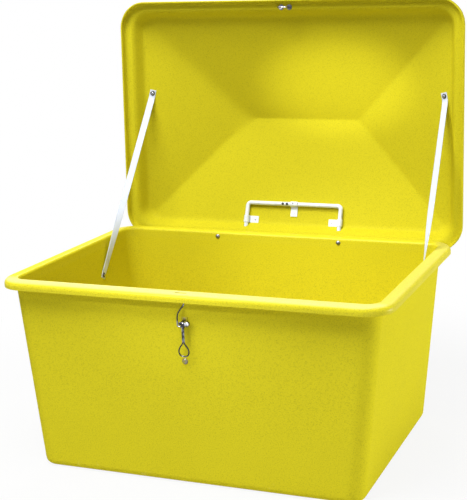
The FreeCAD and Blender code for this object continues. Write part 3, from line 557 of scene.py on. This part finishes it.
def turned(profile, steps):
    """Spin (radius, height) pairs about Z. The profile starts and ends on the axis."""
    clear_selection()
    bpy.ops.mesh.primitive_plane_add(size=0.01)
    item = bpy.context.object
    edit(item)
    bpy.ops.mesh.merge(type="CENTER")
    last = (0, 0)
    for number, (radius, height) in enumerate(profile):
        step = (radius - last[0], 0, height - last[1])
        if number:
            bpy.ops.mesh.extrude_region_move(TRANSFORM_OT_translate={"value": step})
        else:
            bpy.ops.transform.translate(value=step)
        last = (radius, height)
    bpy.ops.mesh.select_all(action="SELECT")
    bpy.ops.mesh.spin(steps=steps, angle=2 * math.pi, center=(0, 0, 0), axis=(0, 0, 1))
    close_up(TOUCHING)
    return item


def bent(points, radius):
    """Round wire along a smooth line that the points pull."""
    clear_selection()
    bpy.ops.curve.primitive_nurbs_path_add()
    item = bpy.context.object
    curve = item.data
    curve.splines.clear()
    spline = curve.splines.new("NURBS")
    spline.points.add(len(points) - 1)
    for control, place in zip(spline.points, points):
        control.co = (*place, 1)
    spline.order_u = 3
    spline.use_endpoint_u = True
    spline.resolution_u = 8
    curve.dimensions = "3D"
    curve.bevel_depth = radius
    curve.bevel_resolution = 4
    curve.use_fill_caps = True
    take(item)
    bpy.ops.object.convert(target="MESH")
    item = bpy.context.object
    edit(item)
    close_up(TOUCHING)
    return item


def join(pieces):
    clear_selection()
    for piece in pieces:
        piece.select_set(True)
    bpy.context.view_layer.objects.active = pieces[0]
    bpy.ops.object.join()
    return pieces[0]


def copied(item):
    twin = item.copy()
    twin.data = item.data.copy()
    bpy.context.scene.collection.objects.link(twin)
    return twin


def aimed(item, place, outward):
    """Stand a piece modelled along Z at a place, facing outward."""
    turn = outward.to_track_quat("Z", "Y").to_matrix().to_4x4()
    item.matrix_world = Matrix.Translation(place) @ turn
    return item


def opened(point):
    """Where a point of the shut lid is on the open one."""
    return HINGE + OPENING @ (point - HINGE)


def anchors(side):
    """A strap's two screws: place on the moulding, outward direction and depth behind it."""
    low = Vector((side * STRAP_FOOT.x, STRAP_FOOT.y, STRAP_FOOT.z))
    low_out = Vector((-side * math.cos(WALL_LEAN), 0, math.sin(WALL_LEAN)))
    high = opened(Vector((side * STRAP_HEAD.x, STRAP_HEAD.y, STRAP_HEAD.z)))
    high_out = OPENING @ Vector((-side * math.sin(ROOF_LEAN), 0, -math.cos(ROOF_LEAN)))
    return (low, low_out, FOOT_DEPTH), (high, high_out, HEAD_DEPTH)


class GRITBIN_OT_lid(bpy.types.Operator):
    """Mould the lid: lip, flange, steep riser and hipped roof with soft creases"""

    bl_idname = "grit_bin.lid"
    bl_label = "Lid"

    # Length of lip that is cut off again once the moulding is soft
    spare = 0.03
    # The band that softens round the roof: how far out it starts, and its width
    band_start = 0.004
    band_width = 0.045

    def execute(self, context):
        sizes = context.scene.grit_bin_lid
        colours = context.scene.grit_bin_colours
        lid = self.form(sizes)
        self.soften(lid, sizes)
        modified(lid, "SOLIDIFY", thickness=sizes.shell, offset=1, use_even_offset=True)
        rounded(lid, 0.002, 3)
        self.rod_holes(lid)
        edit(lid)
        bpy.ops.transform.rotate(value=SWING, orient_axis="X", center_override=HINGE)
        bpy.ops.object.mode_set(mode="OBJECT")
        settle(lid, "lid_moulding", 24)
        # The lid takes the darker copy of the shell colour, partly painted shade
        paint(lid, shell_finish(shade(tuple(colours.shell), colours.lid_batch_and_shade), False))
        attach(lid, "cover")
        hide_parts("lid")
        return {"FINISHED"}

    def form(self, sizes):
        """Block with the shut lid's inside for its surface."""
        clear_selection()
        bpy.ops.mesh.primitive_plane_add(size=1, location=(0, 0, sizes.lip_low - self.spare))
        lid = bpy.context.object
        lid.scale = (sizes.length, sizes.depth, 1)
        bpy.ops.object.transform_apply(location=True, scale=True)
        edit(lid)
        bpy.ops.mesh.bevel(offset=sizes.corner, segments=12, affect="VERTICES")
        bpy.ops.mesh.select_all(action="SELECT")
        self.raise_top(sizes.flange - sizes.lip_low + self.spare)
        bpy.ops.mesh.inset(thickness=sizes.flange_width, depth=0)
        self.raise_top(sizes.eave - sizes.flange)
        inner_length = sizes.length - 2 * sizes.flange_width
        inner_depth = sizes.depth - 2 * sizes.flange_width
        eave_length = inner_length - 2 * sizes.riser_run
        eave_depth = inner_depth - 2 * sizes.riser_run
        bpy.ops.transform.resize(value=(eave_length / inner_length, eave_depth / inner_depth, 1),
                                 center_override=(0, 0, sizes.eave))
        # The block goes up past the ridge, and four sloping cuts leave the hipped roof
        rise = sizes.peak - sizes.eave
        self.raise_top(1.5 * rise)
        side_run = eave_length / 2 - sizes.ridge_half
        end_run = eave_depth / 2 - 0.002
        for side in (-1, 1):
            self.pitch((side * eave_length / 2, 0, sizes.eave), (side * rise, 0, side_run))
            self.pitch((0, side * eave_depth / 2, sizes.eave), (0, side * rise, end_run))
        close_up(0.001)
        return lid

    def soften(self, lid, sizes):
        """Round the block as a mould does, most at the riser and one hip, then open it below."""
        modified(lid, "REMESH", mode="VOXEL", voxel_size=sizes.grid)
        inner_x = sizes.length / 2 - sizes.flange_width + self.band_start
        inner_y = sizes.depth / 2 - sizes.flange_width + self.band_start
        roof_x, roof_y = inner_x - self.band_width, inner_y - self.band_width
        hip_top = Vector((-sizes.ridge_half, 0))
        hip = Vector((-inner_x, -inner_y)) - hip_top
        middle = hip_top + hip * 0.42

        def riser(place):
            inside = abs(place.x) < inner_x and abs(place.y) < inner_y
            outer = abs(place.x) > roof_x or abs(place.y) > roof_y
            return inside and outer and place.z > sizes.lip_low + 0.008

        def faint_hip(place):
            away = Vector((place.x, place.y)) - middle
            along = away.dot(hip.normalized())
            aside = away.dot(Vector((-hip.y, hip.x)).normalized())
            return place.z > sizes.eave and abs(along) < 0.2 and abs(aside) < 0.06

        self.relax(lid, lambda place: True, times=2)
        self.relax(lid, riser, times=20)
        self.relax(lid, faint_hip, times=90)
        edit(lid)
        bpy.ops.mesh.bisect(plane_co=(0, 0, sizes.lip_low), plane_no=(0, 0, 1), clear_inner=True)
        bpy.ops.object.mode_set(mode="OBJECT")

    @staticmethod
    def relax(lid, test, times):
        """Even out the points that pass the test."""
        group = lid.vertex_groups.new(name="relax")
        chosen = [vertex.index for vertex in lid.data.vertices if test(vertex.co)]
        group.add(chosen, 1, "REPLACE")
        modified(lid, "SMOOTH", factor=0.5, iterations=times, vertex_group="relax")
        lid.vertex_groups.clear()

    @staticmethod
    def raise_top(height):
        bpy.ops.mesh.extrude_region_move(TRANSFORM_OT_translate={"value": (0, 0, height)})

    @staticmethod
    def pitch(place, normal):
        """Cut one slope of the roof."""
        bpy.ops.mesh.select_all(action="SELECT")
        bpy.ops.mesh.bisect(plane_co=place, plane_no=normal, use_fill=True, clear_outer=True)

    @staticmethod
    def rod_holes(lid):
        for side in (-1, 1):
            clear_selection()
            bpy.ops.mesh.primitive_cylinder_add(
                vertices=32, radius=ROD_HOLE_RADIUS, depth=0.05,
                location=(side * ROD_HOLE.x, ROD_HOLE.y, ROD_HOLE.z),
                rotation=(math.pi / 2 - ROD_SLOPE, 0, 0))
            cut(lid, bpy.context.object)


class GRITBIN_OT_straps(bpy.types.Operator):
    """Weave the two stay straps, flat at both screws and twisted between"""

    bl_idname = "grit_bin.straps"
    bl_label = "Stay straps"

    # Air between the webbing and the moulding
    clearance = 0.0002
    # Stations from one end of the twist to the other, and mesh columns across the webbing
    steps = 18
    columns = 4

    def execute(self, context):
        sizes = context.scene.grit_bin_straps
        material = webbing_finish(tuple(context.scene.grit_bin_colours.webbing))
        for side, name in ((-1, "left"), (1, "right")):
            stations = self.stations(sizes, side)
            strap = self.weave(sizes, stations)
            settle(strap, "stay_strap_" + name, 50)
            paint(strap, material)
            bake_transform(strap)
            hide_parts("strap_" + name)
        return {"FINISHED"}

    def stations(self, sizes, side):
        """Places along the strap's middle, each with its direction and the way its face looks."""
        (low, low_out, _), (high, high_out, _) = anchors(side)
        half = sizes.thickness / 2 + self.clearance
        foot = low + low_out * half
        head = high + high_out * half
        run = (head - foot).normalized()
        low_run = (run - low_out * run.dot(low_out)).normalized()
        high_run = (run - high_out * run.dot(high_out)).normalized()
        start = foot + low_run * sizes.ease + low_out * sizes.lift
        finish = head - high_run * sizes.ease + high_out * sizes.lift
        places = [(foot - low_run * sizes.end, low_run, low_out),
                  (foot, low_run, low_out),
                  (foot + low_run * sizes.flat, low_run, low_out)]
        for step in range(self.steps + 1):
            share = step / self.steps
            twisted = min(1, share / sizes.twist)
            turn = twisted * twisted * (3 - 2 * twisted)
            facing = low_out.lerp(high_out, turn).normalized()
            facing = (facing - run * facing.dot(run)).normalized()
            places.append((start.lerp(finish, share), run, facing))
        places += [(head - high_run * sizes.flat, high_run, high_out),
                   (head, high_run, high_out),
                   (head + high_run * sizes.end, high_run, high_out)]
        return places

    def weave(self, sizes, stations):
        """Lay a grid along the stations, with its lengths in the UV map for the weave."""
        clear_selection()
        last = len(stations) - 1
        bpy.ops.mesh.primitive_grid_add(x_subdivisions=self.columns, y_subdivisions=last, size=1)
        strap = bpy.context.object
        mesh = strap.data
        lengths = [0.0]
        for (before, _, _), (after, _, _) in zip(stations, stations[1:]):
            lengths.append(lengths[-1] + (after - before).length)
        layer = mesh.uv_layers.active
        shares = [(vertex.co.x, round((vertex.co.y + 0.5) * last)) for vertex in mesh.vertices]
        for loop in mesh.loops:
            share, index = shares[loop.vertex_index]
            layer.data[loop.index].uv = (lengths[index], share * sizes.width)
        for vertex, (share, index) in zip(mesh.vertices, shares):
            place, along, facing = stations[index]
            vertex.co = place + along.cross(facing).normalized() * (share * sizes.width)
        modified(strap, "SUBSURF", levels=2, render_levels=2,
                 boundary_smooth="PRESERVE_CORNERS")
        modified(strap, "SOLIDIFY", thickness=sizes.thickness, offset=0, use_even_offset=True)
        rounded(strap, 0.0005, 2)
        return strap


class GRITBIN_OT_screws(bpy.types.Operator):
    """Turn the dome-headed cross-slot screws of the straps and the rod's clips"""

    bl_idname = "grit_bin.screws"
    bl_label = "Screws"

    def execute(self, context):
        sizes = context.scene.grit_bin_fasteners
        zinc = tuple(context.scene.grit_bin_colours.zinc)
        # The plating in a lighter copy for the dome and a dark copy below it; on the strap screws
        # the dark copy is painted shade round the heads
        bright = steel_finish("screw_plate", shade(zinc, 1.6), 0.16, 700)
        shaded_plating = steel_finish("screw_shadow", shade(zinc, 0.25), 0.3, 700)
        lows, highs = zip(*(anchors(side) for side in (-1, 1)))
        slope = OPENING @ Vector((0, -math.sin(ROD_SLOPE), -math.cos(ROD_SLOPE)))
        clips = [(Vector(place), slope, CLIP_DEPTH) for place in CLIP_SEATS]
        groups = (("strap_lower_screw", lows, sizes.cup, "bin", "strap_lower_screws"),
                  ("strap_upper_screw", highs, sizes.cup, "cover", "strap_upper_screws"),
                  ("clip_screw", clips, 0, "cover", "clip_screws"))
        for name, seats, cup, body, node in groups:
            depth = seats[0][2]
            model = self.screw(sizes, cup, SEAT_LIFT + depth, bright, shaded_plating if cup else bright)
            for number, (place, outward, _) in enumerate(seats, 1):
                screw = aimed(copied(model), place + outward * SEAT_LIFT, outward)
                settle(screw, f"{name}_{number}", 40)
                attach(screw, body)
                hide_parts(node)
            bpy.data.objects.remove(model)
        return {"FINISHED"}

    @staticmethod
    def screw(sizes, cup, length, dome, rest):
        """Shank, cup washer if there is one, and a dome with a cross slot.
        Below the dome's top the second finish shows: on the strap screws a dark copy of the
        plating, painted shade round the dome's foot and its cup washer."""
        shank, head, rise = sizes.shank, sizes.head, sizes.rise
        profile = [(0, -length), (shank * 0.8, -length), (shank, 0.0006 - length), (shank, 0)]
        seat = 0
        if cup:
            seat = 0.0012
            profile += [(cup, 0), (cup, 0.0004), (cup - 0.0007, 0.0011), (head, seat)]
        profile += [(head, seat), (head, seat + rise * 0.25), (head * 0.93, seat + rise * 0.52),
                    (head * 0.74, seat + rise * 0.8), (head * 0.42, seat + rise * 0.96),
                    (0, seat + rise)]
        single = [pair for number, pair in enumerate(profile) if pair != profile[number - 1]]
        item = turned(single, 28)
        for quarter in (0, math.pi / 2):
            clear_selection()
            bpy.ops.mesh.primitive_cube_add(size=1, location=(0, 0, seat + rise),
                                            rotation=(0, 0, quarter + 0.5))
            cutter = bpy.context.object
            cutter.scale = (head * 1.15, head * 0.22, rise * 1.1)
            cut(item, cutter)
        paint(item, dome, rest)
        for face in item.data.polygons:
            face.material_index = int(face.center.z < seat + rise * 0.72)
        return item


class GRITBIN_OT_latch(bpy.types.Operator):
    """Bend the latch's handle and its hook from round wire"""

    bl_idname = "grit_bin.latch"
    bl_label = "Latch wires"

    # Right run of the handle's loop, as distance from the middle and height
    loop_side = ((0.0024, 0.3605), (0.0080, 0.3540), (0.0124, 0.3470), (0.0131, 0.3385),
                 (0.0092, 0.3315))
    loop_bottom = 0.3289
    # The eye on the cross bolt
    eye = ((0, -0.0037), (0.0040, -0.0037), (0.0046, -0.0031), (0.0046, 0.0031),
           (0.0040, 0.0037), (0, 0.0037))
    # The hook's upright beside the handle, its back behind the rim and the tip of its mouth
    upright_x = -0.0137
    rear_y = -0.3101
    tip_y = -0.3181

    def execute(self, context):
        sizes = context.scene.grit_bin_fasteners
        wire = tuple(context.scene.grit_bin_colours.wire)
        material = steel_finish("drawn_wire", wire, 0.12, 1200, 0.4)
        self.finish(self.handle(sizes.wire), "latch_handle", material, "lever", "latch_lever")
        self.finish(self.hook(sizes.hook), "latch_crook", material, "hook", "latch_hook")
        return {"FINISHED"}

    @staticmethod
    def finish(piece, name, material, body, node):
        settle(piece, name, 40)
        paint(piece, material)
        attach(piece, body)
        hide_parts(node)

    def handle(self, radius):
        """Two runs side by side that open into a drop-shaped loop, below an eye on the bolt."""
        y, half = PIN.y - 0.0005, radius + 0.0001
        side = [(half, 0.404), (half, 0.380), (half, 0.3640), *self.loop_side]
        left = [(-x, y, z) for x, z in side]
        right = [(x, y, z) for x, z in reversed(side)]
        loop = bent(left + [(0, y, self.loop_bottom)] + right, radius)
        eye = aimed(turned(self.eye, 32), PIN, Vector((1, 0, 0)))
        clear_selection()
        bpy.ops.mesh.primitive_cube_add(size=1, location=(0, PIN.y, 0.4036))
        yoke = bpy.context.object
        yoke.scale = (0.0074, 0.0058, 0.0095)
        bpy.ops.object.transform_apply(location=False, scale=True)
        modified(yoke, "BEVEL", width=0.0012, segments=3)
        return join([loop, eye, yoke])

    def hook(self, radius):
        """From the cross bolt to the left, up, and in a mouth over the rim's edge."""
        side, rear, tip = self.upright_x, self.rear_y, self.tip_y
        return bent([(0.002, PIN.y, 0.402), (-0.006, PIN.y, 0.402), (side, PIN.y, 0.4022),
                     (side, PIN.y, 0.4120), (side, PIN.y, 0.4290),
                     (-0.0085, PIN.y + 0.0035, 0.4410), (0, rear - 0.0008, 0.4515),
                     (0, rear, 0.4600), (0, rear, 0.4693), (-0.0035, tip, 0.4693),
                     (-0.0068, tip, 0.4588)], radius)


class GRITBIN_OT_studs(bpy.types.Operator):
    """Press the small dark studs into the top of the hinge rod"""

    bl_idname = "grit_bin.studs"
    bl_label = "Rod studs"

    profile = ((0, -0.004), (0.0026, -0.004), (0.0026, -0.0006), (0.0033, 0),
               (0.0030, 0.0009), (0.0019, 0.0015), (0, 0.0017))

    def execute(self, context):
        material = rubber_finish()
        model = turned(self.profile, 20)
        for number, (x, size, stand, tilt) in enumerate(ROD_STUDS, 1):
            stud = copied(model)
            stud.scale = (size, size, size)
            take(stud)
            bpy.ops.object.transform_apply(scale=True)
            outward = Vector((0, -math.cos(tilt), math.sin(tilt)))
            aimed(stud, Vector((x, ROD_BAR.y, ROD_BAR.z)) + outward * stand, outward)
            settle(stud, f"rod_stud_{number}", 40)
            paint(stud, material)
            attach(stud, "cover")
        bpy.data.objects.remove(model)
        return {"FINISHED"}


class GRITBIN_OT_finishes(bpy.types.Operator):
    """Give every solid that shows its finish: moulded, painted, plated or sprayed"""

    bl_idname = "grit_bin.finishes"
    bl_label = "Finishes"

    nodes = {
        "shell": ("tub",),
        "paint": ("hinge_rod", "hinge_clip_left", "hinge_clip_centre", "hinge_clip_right"),
        "zinc": ("clip_washers", "clip_nuts", "strap_upper_washers", "strap_upper_nuts",
                 "bracket_washers", "bracket_nuts", "hinge_bracket_left", "hinge_bracket_right",
                 "latch_backing_plate", "keeper_plate", "front_bolt_washer", "front_bolt_nut",
                 "keeper_outer_nuts"),
        "bolt": ("bracket_bolts",),
        "sprayed": ("front_bolt", "latch_screws"),
        "saddle": ("latch_saddle",),
        "bright": ("latch_dome_nut", "keeper_staple", "keeper_inner_nuts"),
        "dark": ("latch_cross_bolt",),
    }

    def execute(self, context):
        colours = context.scene.grit_bin_colours
        shell, wire = tuple(colours.shell), tuple(colours.wire)
        made = {
            "shell": shell_finish(shell, True),
            "paint": paint_finish(tuple(colours.paint)),
            "zinc": steel_finish("zinc_plate", tuple(colours.zinc), 0.3, 700),
            "bolt": steel_finish("aged_bolt", AGED_STEEL, 0.25, 700),
            "bright": steel_finish("bright_steel", BRIGHT_STEEL, 0.12, 900, 0.9),
            "dark": steel_finish("dark_steel", wire, 0.16, 900, 0.4),
            "saddle": saddle_finish(wire, shell),
            "sprayed": sprayed_finish(shell),
        }
        for finish, nodes in self.nodes.items():
            for node in nodes:
                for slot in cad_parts[node].material_slots:
                    slot.material = made[finish]
        return {"FINISHED"}


class GRITBIN_OT_stage(bpy.types.Operator):
    """Set the pale floor, the lamps and the camera"""

    bl_idname = "grit_bin.stage"
    bl_label = "Stage"

    # Wide lamps: place, the point they look at, width and height
    wide_lamps = {
        "key": ((-0.7, -1.45, 3.75), (0, 0.1, 0.5), 2.0, 2.0),
        "top": ((0.1, -0.9, 3.9), (0, 0.1, 0.5), 2.4, 2.4),
        "side": ((2.9, 0.9, 0.22), (0.3, 0, 0.25), 1.6, 0.46),
        "front": ((2.0, -2.8, 0.5), (0.3, 0, 0.4), 1.2, 1.2),
        "back": ((-1.4, 3.4, 2.3), (0, 0.1, 0.5), 1.2, 1.2),
    }
    # Narrow lamps: place, the point they look at, cone in degrees, radius and stretch sideways
    narrow_lamps = {
        "inner": ((-1.3, -2.4, 2.2), (0.24, 0.32, 0.25), 15, 0.08, 1),
        "gleam": ((0.45, -2.6, 0.95), (0.115, 0.52, 0.88), 6.6, 0.03, 1.6),
    }

    def execute(self, context):
        settings = context.scene.grit_bin_stage
        self.floor()
        for name, (place, target, width, height) in self.wide_lamps.items():
            lamp = self.lamp(name, "AREA", place, target, settings)
            lamp.data.shape = "RECTANGLE"
            lamp.data.size = width
            lamp.data.size_y = height
        for name, (place, target, cone, radius, stretch) in self.narrow_lamps.items():
            lamp = self.lamp(name, "SPOT", place, target, settings)
            lamp.data.spot_size = math.radians(cone)
            lamp.data.spot_blend = 1
            lamp.data.shadow_soft_size = radius
            lamp.scale = (stretch, 1, 1)
        self.world(context.scene, settings.fill)
        self.camera(context.scene, settings)
        context.scene.view_settings.view_transform = "Standard"
        return {"FINISHED"}

    @staticmethod
    def floor():
        """Pale floor that keeps the shadow and turns white further out."""
        clear_selection()
        bpy.ops.mesh.primitive_plane_add(size=60, location=(0, 0, -0.0005))
        floor = settle(bpy.context.object, "floor")
        finish = Finish("pale_floor")
        tone = finish.mix(finish.noise(3, 2), *FLOOR_TONES)
        matt = finish.node("ShaderNodeBsdfDiffuse", None, {"Color": tone})
        glow = finish.node("ShaderNodeEmission", None, {"Color": WHITE, "Strength": 1.0})
        x, y, _ = finish.axes()
        far = finish.between(x * x + y * y, 0.5, 2.2)
        white = finish.background_rays() * (far * 0.1 + 0.9)
        shown = finish.node("ShaderNodeMixShader", None, {0: white, 1: matt, 2: glow})
        paint(floor, finish.close(shown))

    @staticmethod
    def lamp(name, kind, place, target, settings):
        clear_selection()
        bpy.ops.object.light_add(type=kind, location=place)
        lamp = bpy.context.object
        lamp.name = name + "_lamp"
        lamp.data.energy = getattr(settings, name + "_power")
        aim = Vector(target) - Vector(place)
        lamp.rotation_euler = aim.to_track_quat("-Z", "Y").to_euler()
        return lamp

    @staticmethod
    def world(scene, strength):
        """Even light from all round, behind a white background."""
        world = bpy.data.worlds.new("studio")
        scene.world = world
        world.use_nodes = True
        nodes = Nodes(world.node_tree)
        light = nodes.node("ShaderNodeBackground", None, {"Color": WHITE, "Strength": strength})
        white = nodes.node("ShaderNodeBackground", None, {"Color": WHITE, "Strength": 1.0})
        shown = nodes.node("ShaderNodeMixShader", None,
                           {0: nodes.background_rays(), 1: light, 2: white})
        nodes.node("ShaderNodeOutputWorld", None, {"Surface": shown})

    @staticmethod
    def camera(scene, settings):
        azimuth, elevation, roll = settings.azimuth, settings.elevation, settings.roll
        aim = Vector((settings.aim_x, 0, settings.aim_z))
        outward = Vector((math.sin(azimuth) * math.cos(elevation),
                          -math.cos(azimuth) * math.cos(elevation),
                          math.sin(elevation)))
        right = Vector((math.cos(azimuth), math.sin(azimuth), 0))
        up = outward.cross(right)
        rolled_right = right * math.cos(roll) + up * math.sin(roll)
        rolled_up = up * math.cos(roll) - right * math.sin(roll)
        turn = Matrix((rolled_right, rolled_up, outward)).transposed().to_4x4()
        data = bpy.data.cameras.new("photo_camera")
        data.sensor_width = SENSOR
        data.sensor_fit = "AUTO"
        data.lens = FOCAL_PIXELS * SENSOR / PICTURE_HEIGHT
        data.shift_x = (PICTURE_WIDTH / 2 - CENTRE_X) / PICTURE_HEIGHT
        data.shift_y = (CENTRE_Y - PICTURE_HEIGHT / 2) / PICTURE_HEIGHT
        camera = bpy.data.objects.new("photo_camera", data)
        scene.collection.objects.link(camera)
        camera.matrix_world = Matrix.Translation(aim + outward * settings.distance) @ turn
        scene.camera = camera


class GRITBIN_PT_panel(bpy.types.Panel):
    """The bin's pieces, its stage and all their settings"""

    bl_idname = "GRITBIN_PT_panel"
    bl_label = "Grit Bin"
    bl_space_type = "VIEW_3D"
    bl_region_type = "UI"
    bl_category = "Grit Bin"

    def draw(self, context):
        for operator in OPERATORS:
            self.layout.operator(operator.bl_idname)
        for group_name in GROUPS:
            group = getattr(context.scene, group_name)
            box = self.layout.box()
            for name in group.__annotations__:
                box.prop(group, name)


OPERATORS = (GRITBIN_OT_lid, GRITBIN_OT_straps, GRITBIN_OT_screws, GRITBIN_OT_latch,
             GRITBIN_OT_studs, GRITBIN_OT_finishes, GRITBIN_OT_stage)
GROUPS = {
    "grit_bin_colours": BinColours,
    "grit_bin_lid": LidSizes,
    "grit_bin_straps": StrapSizes,
    "grit_bin_fasteners": FastenerSizes,
    "grit_bin_stage": StageSettings,
}
CLASSES = (*GROUPS.values(), *OPERATORS, GRITBIN_PT_panel)


def register():
    for item in CLASSES:
        bpy.utils.register_class(item)
    for name, group in GROUPS.items():
        setattr(bpy.types.Scene, name, PointerProperty(type=group))


def unregister():
    for name in GROUPS:
        delattr(bpy.types.Scene, name)
    for item in reversed(CLASSES):
        bpy.utils.unregister_class(item)


def main():
    register()
    bpy.ops.grit_bin.lid()
    bpy.ops.grit_bin.straps()
    bpy.ops.grit_bin.screws()
    bpy.ops.grit_bin.latch()
    bpy.ops.grit_bin.studs()
    bpy.ops.grit_bin.finishes()
    bpy.ops.grit_bin.stage()


if __name__ == "__main__":
    main()
